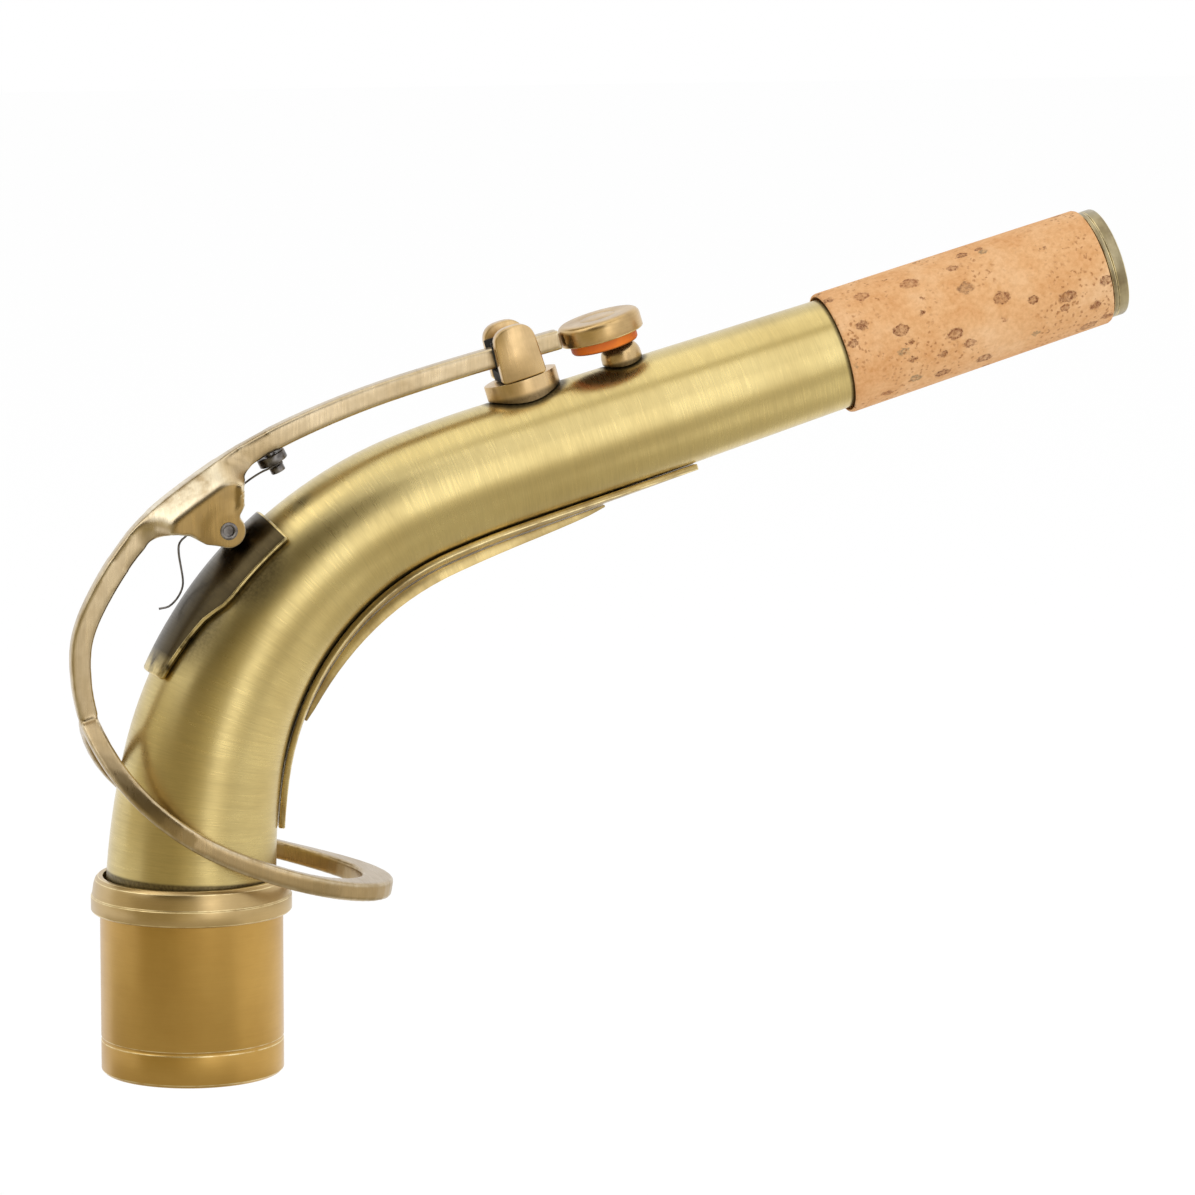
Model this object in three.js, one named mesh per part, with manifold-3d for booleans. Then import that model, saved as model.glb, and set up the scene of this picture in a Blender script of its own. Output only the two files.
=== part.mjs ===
// A saxophone neck: a bent, tapering brass tube with its tenon and collar, the
// cork that the mouthpiece is pushed onto, a brace under the bend, and the
// sprung octave key with its ring, fork guide, pad and vent.
//
// Millimetres. +Z runs up the tenon's axis and +X runs towards the mouthpiece.
// The tube's centreline lies in the plane y = 0, and the origin is the centre
// of the tenon's open lower end. A place on the neck is given by its station,
// the length along the centreline from the top of the tenon, and by its height
// above the tube's surface.

import * as THREE from 'three';
import { mergeVertices } from 'three/addons/utils/BufferGeometryUtils.js';
import Module from 'manifold-3d';

const wasm = await Module();
wasm.setup();

// Driving sizes of the tube
const tenonDiameter = 24.5;
const tenonLength = 21.9;
const collarLedge = 1.2;
const collarHeight = 4.8;
const neckInset = 0.65;
const neckThroatDiameter = 17.84;
const neckTipDiameter = 13.7;
const neckWall = 0.85;
const leadLength = 2.1;
const risingBendRadius = 90.6;
const mainBendRadius = 47.8;
const easingBendRadius = 160;
const straightRun = 89.6;
const risingBendTurn = THREE.MathUtils.degToRad(10.9);
const mainBendTurn = THREE.MathUtils.degToRad(58.3);
const easingBendTurn = THREE.MathUtils.degToRad(4.1);
const corkLength = 38.5;
const corkRootDiameter = 16.9;
const corkTipDiameter = 16.2;

// What the tenon carries takes its width from the tenon.
const collarDiameter = tenonDiameter + 2 * collarLedge;
const neckBaseDiameter = tenonDiameter - 2 * neckInset;

// Driving sizes of the octave key
const pivotHeight = 3.2;
const pivotPinDiameter = 1.6;
const padCupDiameter = 11.4;
const padCupThickness = 2.7;
const padDiameter = 9.2;
const ventDiameter = 5.5;
const ventHeight = 2.62;
const leverWidth = 2.7;
const leverDepth = 3.1;
const ringBandWidth = 2.2;
const ringBandDepth = 2.5;
const ringReach = 27.2;

// Clearances
const solderGap = 0.2;
const runningGap = 0.3;
const pinGap = 0.2;
const cutOverrun = 3;

// How finely round shapes are stepped
const tubeSides = 48;
const roundSides = 48;
const smallSides = 24;
const bendStep = 2.6;
const straightStep = 15;

const xAxis = new THREE.Vector3(1, 0, 0);
const yAxis = new THREE.Vector3(0, 1, 0);
const fullTurn = 2 * Math.PI;
const rightAngle = Math.PI / 2;

const colours = {
  neck: 0xb79a52,
  tenon: 0xb98a3c,
  fittings: 0xc2a468,
  saddle: 0x4a4030,
  steel: 0x3a3634,
  cork: 0xd9a878,
  pad: 0xd2691e,
  liner: 0x141414,
};

const root = new THREE.Group();

function finish(colour, roughness, metalness) {
  return new THREE.MeshStandardMaterial({ color: colour, roughness, metalness });
}

const looks = {
  neck: finish(colours.neck, 0.34, 1),
  tenon: finish(colours.tenon, 0.28, 1),
  fittings: finish(colours.fittings, 0.36, 1),
  saddle: finish(colours.saddle, 0.4, 1),
  steel: finish(colours.steel, 0.3, 1),
  cork: finish(colours.cork, 0.85, 0),
  pad: finish(colours.pad, 0.6, 0),
  liner: finish(colours.liner, 0.8, 0),
};

// Adds a named mesh to a group.
function add(name, geometry, look, parent = root) {
  const mesh = new THREE.Mesh(geometry, looks[look]);
  mesh.name = name;
  parent.add(mesh);
  return mesh;
}

// Turns a geometry whose faces point inwards the right way round.
function outward(geometry) {
  const place = geometry.getAttribute('position');
  const faces = geometry.index.array;
  const [a, b, c] = [new THREE.Vector3(), new THREE.Vector3(), new THREE.Vector3()];
  let volume = 0;
  for (let i = 0; i < faces.length; i += 3) {
    a.fromBufferAttribute(place, faces[i]);
    b.fromBufferAttribute(place, faces[i + 1]);
    c.fromBufferAttribute(place, faces[i + 2]);
    volume += a.dot(b.cross(c));
  }
  if (volume < 0) {
    const turned = [];
    for (let i = 0; i < faces.length; i += 3) {
      turned.push(faces[i], faces[i + 2], faces[i + 1]);
    }
    geometry.setIndex(turned);
  }
  geometry.computeVertexNormals();
  return geometry;
}

// Skins a row of cross-sections, each with the same number of outline points,
// into one closed solid. A closed row joins its last section to its first.
function skin(sections, closed = false) {
  const count = sections[0].outline.length;
  const positions = [];
  for (const section of sections) {
    for (const spot of section.outline) {
      const point = section.origin.clone();
      point.addScaledVector(section.across, spot.x);
      point.addScaledVector(section.up, spot.y);
      positions.push(point.x, point.y, point.z);
    }
  }
  const faces = [];
  const joins = closed ? sections.length : sections.length - 1;
  for (let i = 0; i < joins; i += 1) {
    const near = i * count;
    const far = ((i + 1) % sections.length) * count;
    for (let j = 0; j < count; j += 1) {
      const k = (j + 1) % count;
      faces.push(near + j, near + k, far + k, near + j, far + k, far + j);
    }
  }
  if (!closed) {
    cap(faces, sections[0].outline, 0, true);
    cap(faces, sections.at(-1).outline, (sections.length - 1) * count, false);
  }
  const geometry = new THREE.BufferGeometry();
  geometry.setAttribute('position', new THREE.Float32BufferAttribute(positions, 3));
  geometry.setIndex(faces);
  return outward(geometry);
}

// Closes one end of a skinned solid.
function cap(faces, outline, first, start) {
  const outlineTurn = Math.sign(THREE.ShapeUtils.area(outline));
  for (const [i, j, k] of THREE.ShapeUtils.triangulateShape(outline, [])) {
    const faceTurn = Math.sign(THREE.ShapeUtils.area([outline[i], outline[j], outline[k]]));
    const forward = (faceTurn === outlineTurn) !== start;
    faces.push(first + i, first + (forward ? j : k), first + (forward ? k : j));
  }
}

// Turns a profile of [radius, height] points about the Z axis.
function turned(profile, sides = roundSides) {
  const points = profile.map(([radius, height]) => new THREE.Vector2(radius, height));
  const geometry = new THREE.LatheGeometry(points, sides);
  geometry.rotateX(rightAngle);
  return shape(solid(geometry));
}

// A hollow turned profile closes on its own first point.
function turnedRing(profile, sides = roundSides) {
  return turned([...profile, profile[0]], sides);
}

// Makes a manifold solid of a closed geometry, and a geometry of a solid.
function solid(geometry) {
  const bare = geometry.clone();
  bare.deleteAttribute('normal');
  bare.deleteAttribute('uv');
  const merged = mergeVertices(bare);
  const corners = merged.index.array;
  const kept = [];
  for (let i = 0; i < corners.length; i += 3) {
    const [a, b, c] = corners.slice(i, i + 3);
    if (a !== b && b !== c && c !== a) kept.push(a, b, c);
  }
  merged.setIndex(kept);
  outward(merged);
  const mesh = new wasm.Mesh({
    numProp: 3,
    vertProperties: new Float32Array(merged.getAttribute('position').array),
    triVerts: new Uint32Array(merged.index.array),
  });
  return new wasm.Manifold(mesh);
}

function shape(manifold) {
  const mesh = manifold.getMesh();
  const geometry = new THREE.BufferGeometry();
  geometry.setAttribute('position', new THREE.BufferAttribute(mesh.vertProperties, 3));
  geometry.setIndex(Array.from(mesh.triVerts));
  geometry.computeVertexNormals();
  return geometry;
}

// The neck's centreline is a row of straight pieces and arcs.
const neckPieces = [
  { run: leadLength, turn: 0 },
  { run: risingBendRadius * risingBendTurn, turn: risingBendTurn },
  { run: mainBendRadius * mainBendTurn, turn: mainBendTurn },
  { run: easingBendRadius * easingBendTurn, turn: easingBendTurn },
  { run: straightRun, turn: 0 },
];
const bendStart = neckPieces[0].run + neckPieces[1].run;
const bendRun = neckPieces[2].run;
const runStart = bendStart + bendRun + neckPieces[3].run;
const neckLength = runStart + straightRun;

// The tube narrows quickly to its throat and slowly from there.
const throatShare = 0.78;
const taperBlend = 8;
const throatStation = bendStart + throatShare * bendRun;
const bendTaper = (neckBaseDiameter - neckThroatDiameter) / (2 * throatStation);
const runTaper = (neckThroatDiameter - neckTipDiameter) / (2 * (neckLength - throatStation));

function neckRadius(station) {
  const before = throatStation - station;
  const blended = (before + Math.hypot(before, taperBlend)) / 2;
  return neckThroatDiameter / 2 + runTaper * before + (bendTaper - runTaper) * blended;
}

// The frame of the neck at a station: along the centreline, and out of the
// top of the tube.
function neckAt(station) {
  let x = 0;
  let z = tenonLength;
  let heading = rightAngle;
  let left = station;
  for (const piece of neckPieces) {
    const go = piece === neckPieces.at(-1) ? left : Math.min(left, piece.run);
    const next = heading - (go * piece.turn) / piece.run;
    if (piece.turn > 0) {
      const radius = piece.run / piece.turn;
      x += radius * (Math.sin(heading) - Math.sin(next));
      z += radius * (Math.cos(next) - Math.cos(heading));
    } else {
      x += go * Math.cos(heading);
      z += go * Math.sin(heading);
    }
    heading = next;
    left -= go;
  }
  return {
    origin: new THREE.Vector3(x, 0, z),
    along: new THREE.Vector3(Math.cos(heading), 0, Math.sin(heading)),
    out: new THREE.Vector3(-Math.sin(heading), 0, Math.cos(heading)),
    heading,
    radius: neckRadius(station),
  };
}

function onNeck(station, height) {
  const frame = neckAt(station);
  return frame.origin.addScaledVector(frame.out, frame.radius + height);
}

// A group that stands on the tube's top, X along the tube and Z out of it.
function standOnNeck(station, height) {
  const group = new THREE.Group();
  group.position.copy(onNeck(station, height));
  group.rotation.y = -neckAt(station).heading;
  group.updateMatrixWorld();
  root.add(group);
  return group;
}

// Stations from one to another, close together where the neck bends.
function stationsBetween(from, to, step = bendStep, farStep = straightStep) {
  const stations = [];
  const bent = Math.max(0, Math.min(to, runStart) - from);
  const bentSteps = Math.ceil(bent / step);
  for (let i = 0; i < bentSteps; i += 1) stations.push(from + (bent * i) / bentSteps);
  const rest = to - from - bent;
  const restSteps = Math.max(1, Math.ceil(rest / farStep));
  for (let i = 0; i <= restSteps; i += 1) stations.push(from + bent + (rest * i) / restSteps);
  return rest > 0 ? stations : [...stations.slice(0, bentSteps), to];
}

function circle(radius, sides) {
  const outline = [];
  for (let i = 0; i < sides; i += 1) {
    const angle = (fullTurn * i) / sides;
    outline.push(new THREE.Vector2(radius * Math.cos(angle), radius * Math.sin(angle)));
  }
  return outline;
}

// One cross-section of something that follows the neck.
function neckSection(station, outline) {
  const frame = neckAt(station);
  return { origin: frame.origin, across: yAxis, up: frame.out, outline };
}

// The neck's outside as a solid bar, for cutting what sits on the tube.
function neckBar(from, to, extra) {
  const stations = stationsBetween(from, to);
  return skin(stations.map((s) => neckSection(s, circle(neckRadius(s) + extra, tubeSides))));
}

// An arched outline round the tube: up is 1 on the tube's top, -1 underneath.
function arch(inner, thickness, halfAngle, up) {
  const steps = 8;
  const outline = [];
  for (let i = 0; i <= 2 * steps + 1; i += 1) {
    const outside = i <= steps;
    const share = outside ? i / steps : (2 * steps + 1 - i) / steps;
    const angle = halfAngle * (2 * share - 1);
    const radius = outside ? inner + thickness : inner;
    outline.push(new THREE.Vector2(radius * Math.sin(angle), up * radius * Math.cos(angle)));
  }
  return outline;
}

// A bar whose ends and middle swell by a share: 0 at the ends and 1 between.
function swell(share, sharpness) {
  return Math.sin(Math.PI * share) ** sharpness;
}

function rod(radius, length, sides = smallSides) {
  return new THREE.CylinderGeometry(radius, radius, length, sides);
}

// Tenon and collar
const tenonRadius = tenonDiameter / 2;
const tenonWall = 1.05;
const tenonRim = 0.45;
const grooveHeight = 4.6;
const grooveWidth = 0.3;
const grooveDepth = 0.16;

function makeTenon() {
  const bore = tenonRadius - tenonWall;
  add('tenon_sleeve', turnedRing([
    [bore, 0],
    [tenonRadius - tenonRim, 0],
    [tenonRadius - tenonRim * 0.3, tenonRim * 0.3],
    [tenonRadius, tenonRim],
    [tenonRadius, grooveHeight - grooveWidth],
    [tenonRadius - grooveDepth, grooveHeight - grooveWidth / 2],
    [tenonRadius - grooveDepth, grooveHeight + grooveWidth / 2],
    [tenonRadius, grooveHeight + grooveWidth],
    [tenonRadius, tenonLength],
    [bore, tenonLength],
  ], 64), 'tenon');
}

const collarBandHeight = 2.25;
const collarEdge = 0.2;
const collarStep = 0.15;
const collarShoulder = 0.45;
const collarCrown = 0.4;

function makeCollar() {
  const outer = collarDiameter / 2;
  const bore = neckRadius(0) + solderGap;
  const seat = tenonRadius + solderGap;
  const upper = outer - collarStep;
  const collar = add('tenon_collar', turnedRing([
    [seat, 0],
    [outer - collarEdge, 0],
    [outer, collarEdge],
    [outer, collarBandHeight - collarStep],
    [upper, collarBandHeight],
    [upper - collarShoulder / 2, collarHeight - 2 * collarCrown],
    [upper - collarShoulder, collarHeight - collarCrown],
    [upper - collarShoulder - collarCrown, collarHeight],
    [bore, collarHeight],
    [bore, seat - bore],
  ], 64), 'fittings');
  collar.position.z = tenonLength;
}

// The tube itself, with a hole for the vent
const tipLip = 0.8;
const tubeEnd = neckLength - tipLip - solderGap;
const ventBore = 1;
const ventWall = 0.7;
const padRun = 18.6;
const padStation = runStart + padRun;
const ventOffset = 1.7;
const ventStation = padStation + ventOffset;

function makeNeckTube() {
  const stations = stationsBetween(0, tubeEnd);
  const outside = stations.map((s) => neckSection(s, circle(neckRadius(s), tubeSides)));
  const inner = (s) => neckSection(s, circle(neckRadius(s) - neckWall, tubeSides));
  const inside = stations.map(inner).reverse();
  const tube = solid(skin([...outside, ...inside], true));
  const group = standOnNeck(ventStation, 0);
  const hole = rod(ventBore + ventWall + solderGap, 2 * (neckWall + cutOverrun));
  hole.rotateX(rightAngle);
  hole.applyMatrix4(group.matrixWorld);
  add('neck_tube', shape(tube.subtract(solid(hole))), 'neck');
}

// Tip ring and cork, turned about the end of the centreline
const tipRingLength = 2.3;
const tipRingWall = 0.5;
const tipRingEdge = 0.35;
const corkEdge = 0.35;

function makeTip() {
  const end = neckAt(neckLength);
  const tip = new THREE.Group();
  tip.position.copy(end.origin);
  tip.rotation.y = rightAngle - end.heading;
  root.add(tip);
  const bore = neckTipDiameter / 2 - neckWall;
  const seat = neckTipDiameter / 2 + solderGap;
  const outer = seat + tipRingWall;
  add('tip_ring', turnedRing([
    [bore, -tipLip],
    [bore, 0],
    [outer - tipRingEdge, 0],
    [outer - tipRingEdge * 0.3, -tipRingEdge * 0.3],
    [outer, -tipRingEdge],
    [outer, -tipRingLength],
    [seat, -tipRingLength],
    [seat, -tipLip],
  ]), 'fittings', tip);
  const near = tipRingLength + solderGap;
  const far = near + corkLength;
  const root1 = corkRootDiameter / 2;
  const tip1 = corkTipDiameter / 2;
  add('mouthpiece_cork', turnedRing([
    [neckRadius(neckLength - near) + solderGap, -near],
    [tip1 - corkEdge, -near],
    [tip1, -near - corkEdge],
    [root1, -far + corkEdge],
    [root1 - corkEdge, -far],
    [neckRadius(neckLength - far) + solderGap, -far],
  ]), 'cork', tip);
}

// Brace under the bend: a wide strip and a narrower rib on it
const braceStart = 12;
const braceReach = 25.8;
const braceThickness = 0.85;
const braceHalfWidth = 4.9;
const braceEndHalfWidth = 1.9;
const ribStartGap = 18.5;
const ribEndGap = 13.7;
const ribHeight = 1.5;
const ribEndHeight = 0.3;
const ribHalfWidth = 2.3;
const ribEndHalfWidth = 1.1;
const braceSharpness = 0.6;

function braceOutline(station, share, lift, thickness, endHalf, midHalf) {
  const inner = neckRadius(station) + lift;
  const half = THREE.MathUtils.lerp(endHalf, midHalf, swell(share, braceSharpness));
  return arch(inner, thickness, Math.asin(half / inner), -1);
}

function makeBrace() {
  const from = braceStart;
  const to = runStart + braceReach;
  const strip = stationsBetween(from, to, bendStep, bendStep).map((s) => {
    const share = (s - from) / (to - from);
    const outline = braceOutline(
      s, share, solderGap, braceThickness, braceEndHalfWidth, braceHalfWidth,
    );
    return neckSection(s, outline);
  });
  add('brace_strip', skin(strip), 'neck');
  const ribFrom = from + ribStartGap;
  const ribTo = to - ribEndGap;
  const rib = stationsBetween(ribFrom, ribTo, bendStep, bendStep).map((s) => {
    const share = (s - ribFrom) / (ribTo - ribFrom);
    const height = THREE.MathUtils.lerp(ribEndHeight, ribHeight, swell(share, braceSharpness));
    const lift = 2 * solderGap + braceThickness;
    const outline = braceOutline(s, share, lift, height, ribEndHalfWidth, ribHalfWidth);
    return neckSection(s, outline);
  });
  add('brace_rib', skin(rib), 'neck');
}

// Saddle plate on the bend, and the hinge post on it
const pivotBendShare = 0.554;
const pivotStation = bendStart + pivotBendShare * bendRun;
const saddleThickness = 0.85;
const saddleFront = 4;
const saddleLength = 21.4;
const saddleHalfAngle = THREE.MathUtils.degToRad(47.7);
const saddleShares = [[0, 0.57], [0.11, 0.63], [0.24, 0.7], [0.38, 0.79], [0.52, 0.97], [1, 1]];
const saddleSteps = 16;
const hingeRadius = 1.65;
const hingeHalfLength = 2.9;

function saddleWidthShare(share) {
  const after = saddleShares.findIndex(([along]) => along >= share);
  if (after < 1) return saddleShares[0][1];
  const [nearAlong, nearWidth] = saddleShares[after - 1];
  const [farAlong, farWidth] = saddleShares[after];
  const part = (share - nearAlong) / (farAlong - nearAlong);
  return THREE.MathUtils.lerp(nearWidth, farWidth, part);
}

function makeSaddle() {
  const to = pivotStation + saddleFront;
  const from = to - saddleLength;
  const sections = [];
  for (let i = 0; i <= saddleSteps; i += 1) {
    const share = i / saddleSteps;
    const station = THREE.MathUtils.lerp(from, to, share);
    const angle = saddleHalfAngle * saddleWidthShare(share);
    const inner = neckRadius(station) + solderGap;
    sections.push(neckSection(station, arch(inner, saddleThickness, angle, 1)));
  }
  add('key_saddle', skin(sections), 'saddle');
}

const pivotFrame = standOnNeck(pivotStation, pivotHeight);
const pivotPinRadius = pivotPinDiameter / 2;

function makeHingePost() {
  const barrel = solid(rod(hingeRadius, 2 * hingeHalfLength));
  const foot = new THREE.BoxGeometry(2 * hingeRadius, 2 * hingeHalfLength, pivotHeight);
  foot.translate(0, 0, -pivotHeight / 2);
  const bore = solid(rod(pivotPinRadius + pinGap, 2 * (hingeHalfLength + cutOverrun)));
  const raw = shape(barrel.add(solid(foot)).subtract(bore));
  raw.applyMatrix4(pivotFrame.matrixWorld);
  const reach = hingeRadius + cutOverrun;
  const bar = neckBar(pivotStation - reach, pivotStation + reach, 2 * solderGap + saddleThickness);
  add('hinge_post', shape(solid(raw).subtract(solid(bar))), 'saddle');
}

// Vent, pad and pad cup
const ventRim = 0.75;
const ventTopRadius = 1.4;
const padClearance = 0.08;
const padStandOut = 1.5;
const cupRecess = 1.3;
const cupRound = 0.9;
const cupBottom = ventHeight + padClearance + padStandOut;
const padRound = 0.35;

function makeVent() {
  const outer = ventDiameter / 2;
  const profile = [[ventBore, -cutOverrun / 2], [outer, -cutOverrun / 2], [outer, ventRim]];
  const steps = 7;
  const reach = outer - ventTopRadius;
  const rise = ventHeight - ventRim;
  for (let i = 1; i <= steps; i += 1) {
    const angle = (rightAngle * i) / steps;
    profile.push([ventTopRadius + reach * Math.cos(angle), ventRim + rise * Math.sin(angle)]);
  }
  profile.push([ventBore, ventHeight]);
  const stand = standOnNeck(ventStation, 0);
  const dome = turnedRing(profile, 36);
  dome.applyMatrix4(stand.matrixWorld);
  const bar = neckBar(ventStation - ventDiameter, ventStation + ventDiameter, solderGap);
  const stem = turnedRing([
    [ventBore, -neckWall - solderGap],
    [ventBore + ventWall, -neckWall - solderGap],
    [ventBore + ventWall, ventRim],
    [ventBore, ventRim],
  ], 36);
  stem.applyMatrix4(stand.matrixWorld);
  add('octave_vent', shape(solid(dome).subtract(solid(bar)).add(solid(stem))), 'fittings');
}

function makePadCup() {
  const stand = standOnNeck(padStation, cupBottom);
  const radius = padCupDiameter / 2;
  const padRadius = padDiameter / 2;
  const recess = padRadius + solderGap;
  const profile = [[0, cupRecess], [recess, cupRecess], [recess, 0], [radius, 0]];
  const steps = 5;
  for (let i = 0; i <= steps; i += 1) {
    const angle = (rightAngle * i) / steps;
    profile.push([
      radius - cupRound + cupRound * Math.cos(angle),
      padCupThickness - cupRound + cupRound * Math.sin(angle),
    ]);
  }
  profile.push([0, padCupThickness]);
  add('pad_cup', turned(profile), 'fittings', stand);
  const top = cupRecess - solderGap;
  add('octave_pad', turned([
    [0, -padStandOut],
    [padRadius - padRound, -padStandOut],
    [padRadius - padRound * 0.3, padRound * 0.3 - padStandOut],
    [padRadius, padRound - padStandOut],
    [padRadius, top],
    [0, top],
  ]), 'pad', stand);
}

// The lever's centreline in side view: from the pad cup over the yoke and
// down behind the tube to the ring. Shares are of the stations between the
// ring, the pivot and the cup, and of the lever's greatest height.
const leverRise = 11;
const ringBackStation = 21.9;
const ringBackHeight = 5.65;
const frontLineShares = [[0.667, 0.536], [0.396, 0.591], [0.189, 0.723], [0.035, 0.845]];
const rearLineShares = [[0.783, 0.982], [0.512, 1], [0.311, 0.95], [0.148, 0.755]];
const cupEdgeStation = padStation - padCupDiameter / 2;
const leverDepthAtCupShare = 0.86;
const rearTipWidthShare = 0.76;
const rearTipDepthShare = 0.84;

const leverLine = new THREE.CatmullRomCurve3([
  onNeck(cupEdgeStation, cupBottom + padCupThickness / 2),
  ...frontLineShares.map(([share, rise]) => onNeck(
    THREE.MathUtils.lerp(pivotStation, cupEdgeStation, share), leverRise * rise,
  )),
  ...rearLineShares.map(([share, rise]) => onNeck(
    THREE.MathUtils.lerp(ringBackStation, pivotStation, share), leverRise * rise,
  )),
  onNeck(ringBackStation, ringBackHeight),
]);
leverLine.arcLengthDivisions = 400;
const leverLength = leverLine.getLength();

// The lever's frame at a share of its length, with up on its outer side.
function leverAt(share) {
  const origin = leverLine.getPointAt(share);
  const along = leverLine.getTangentAt(share);
  const up = new THREE.Vector3().crossVectors(yAxis, along).normalize();
  return { origin, along, up };
}

// The share of the lever's line that lies nearest a point.
function leverShareNear(point) {
  const tries = 800;
  let best = 0;
  let least = Infinity;
  for (let i = 0; i <= tries; i += 1) {
    const gap = leverLine.getPointAt(i / tries).distanceTo(point);
    if (gap < least) {
      least = gap;
      best = i / tries;
    }
  }
  return best;
}

function fromPivot(along, out) {
  return pivotFrame.localToWorld(new THREE.Vector3(along, 0, out));
}

const yokeFront = 9.4;
const yokeRear = 9;
const yokeHeight = 5;
const yokeFrontShare = leverShareNear(fromPivot(yokeFront, yokeHeight));
const yokeRearShare = leverShareNear(fromPivot(-yokeRear, yokeHeight));

function leverHalfDepth(share) {
  const front = Math.min(1, share / yokeFrontShare);
  const rear = Math.max(0, (share - yokeRearShare) / (1 - yokeRearShare));
  const depth = THREE.MathUtils.lerp(leverDepthAtCupShare, 1, front);
  return (leverDepth / 2) * THREE.MathUtils.lerp(depth, rearTipDepthShare, rear);
}

function leverHalfWidth(share) {
  const rear = Math.max(0, (share - yokeRearShare) / (1 - yokeRearShare));
  return (leverWidth / 2) * THREE.MathUtils.lerp(1, rearTipWidthShare, rear);
}

// A bar's outline with small cut corners.
const barCornerShare = 0.12;

function barOutline(halfWidth, halfDepth) {
  const cut = barCornerShare * Math.min(halfWidth, halfDepth) * 2;
  return [
    [halfWidth - cut, -halfDepth],
    [halfWidth, cut - halfDepth],
    [halfWidth, halfDepth - cut],
    [halfWidth - cut, halfDepth],
    [cut - halfWidth, halfDepth],
    [-halfWidth, halfDepth - cut],
    [-halfWidth, cut - halfDepth],
    [cut - halfWidth, -halfDepth],
  ].map(([x, y]) => new THREE.Vector2(x, y));
}

function leverBar(from, to, steps) {
  const sections = [];
  for (let i = 0; i <= steps; i += 1) {
    const share = THREE.MathUtils.lerp(from, to, i / steps);
    const { origin, up } = leverAt(share);
    const outline = barOutline(leverHalfWidth(share), leverHalfDepth(share));
    sections.push({ origin, across: yAxis, up, outline });
  }
  return skin(sections);
}

// Spring boss and its screw under the front arm
const bossReach = 12.6;
const bossRadius = 2;
const bossThickness = 1.15;
const bossScrewRadius = 0.6;
const bossScrewHead = 1;
const bossScrewHeadHeight = 0.85;
const bossScrewDepth = 1.9;
const springRadius = 0.22;
const springGap = 0.06;
const springFootGap = 0.25;
const slotWidth = 0.35;
const slotDepth = 0.4;
const bossShare = leverShareNear(fromPivot(bossReach, yokeHeight));

const bossFrame = new THREE.Group();
{
  const { origin, along, up } = leverAt(bossShare);
  const basis = new THREE.Matrix4().makeBasis(along.clone().negate(), yAxis, up);
  bossFrame.quaternion.setFromRotationMatrix(basis);
  bossFrame.position.copy(origin).addScaledVector(up, -leverHalfDepth(bossShare));
  bossFrame.updateMatrixWorld();
  root.add(bossFrame);
}

function upright(geometry, height) {
  geometry.rotateX(rightAngle);
  geometry.translate(0, 0, height);
  return geometry;
}

function makeFrontArm() {
  const arm = solid(leverBar(solderGap / leverLength, yokeFrontShare, 18));
  const stand = standOnNeck(padStation, cupBottom);
  const clear = upright(rod(padCupDiameter / 2 + solderGap, 4 * padCupThickness, roundSides), 0);
  clear.applyMatrix4(stand.matrixWorld);
  const hole = upright(rod(bossScrewRadius + solderGap, 2 * bossScrewDepth), 0);
  hole.applyMatrix4(bossFrame.matrixWorld);
  add('lever_front_arm', shape(arm.subtract(solid(clear)).subtract(solid(hole))), 'fittings');
}

function makeSpringBoss() {
  const boss = solid(upright(rod(bossRadius, bossThickness, 32), -solderGap - bossThickness / 2));
  const bore = solid(upright(rod(bossScrewRadius + solderGap, 4 * bossThickness), 0));
  add('spring_boss', shape(boss.subtract(bore)), 'steel', bossFrame);
  const under = -solderGap - bossThickness - 2 * (springRadius + springGap);
  const shankTop = bossScrewDepth - solderGap;
  const shankFoot = under - bossScrewHeadHeight / 4;
  const shank = solid(upright(
    rod(bossScrewRadius, shankTop - shankFoot), (shankTop + shankFoot) / 2,
  ));
  const head = solid(upright(
    rod(bossScrewHead, bossScrewHeadHeight), under - bossScrewHeadHeight / 2,
  ));
  const slot = new THREE.BoxGeometry(4 * bossScrewHead, slotWidth, 2 * slotDepth);
  slot.translate(0, 0, under - bossScrewHeadHeight);
  add('spring_screw', shape(shank.add(head).subtract(solid(slot))), 'steel', bossFrame);
}

// Yoke: the lever's middle, which arches over the hinge post with an ear on
// each side. Outline shares are of the pivot's depth, in the pivot's frame.
const lobeRadius = 2.3;
const lobeStart = THREE.MathUtils.degToRad(5);
const lobeEnd = THREE.MathUtils.degToRad(-165);
const earReach = 5.2;
const earInside = hingeHalfLength + runningGap + 0.1 * lobeRadius;
const yokeDepth = 8;
const frontEdgeShares = [[0.88, 0.35], [0.7, 0.28], [0.48, 0.08]];
const rearEdgeShares = [[-0.42, 0.13], [-0.49, 0.4], [-0.63, 0.59], [-0.76, 0.7], [-1.01, 0.765]];
const flareShares = [
  [0, 0.26], [0.2, 0.28], [0.4, 0.42], [0.58, 0.7], [0.76, 0.92], [0.95, 1], [1.9, 1],
];
const hollowShares = [[0.43, 0.22], [0.62, 0.7], [0.76, 1], [2, 1]];
const spreadShares = [-1.15, -0.9, -0.65, -0.4, 0, 0.3, 0.5, 0.75, 1, 1.2];

function yokeTop() {
  const points = [];
  const steps = 12;
  for (let i = 0; i <= steps; i += 1) {
    const share = THREE.MathUtils.lerp(yokeRearShare, yokeFrontShare, i / steps);
    const { origin, up } = leverAt(share);
    points.push(origin.addScaledVector(up, leverHalfDepth(share)));
  }
  return points;
}

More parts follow.
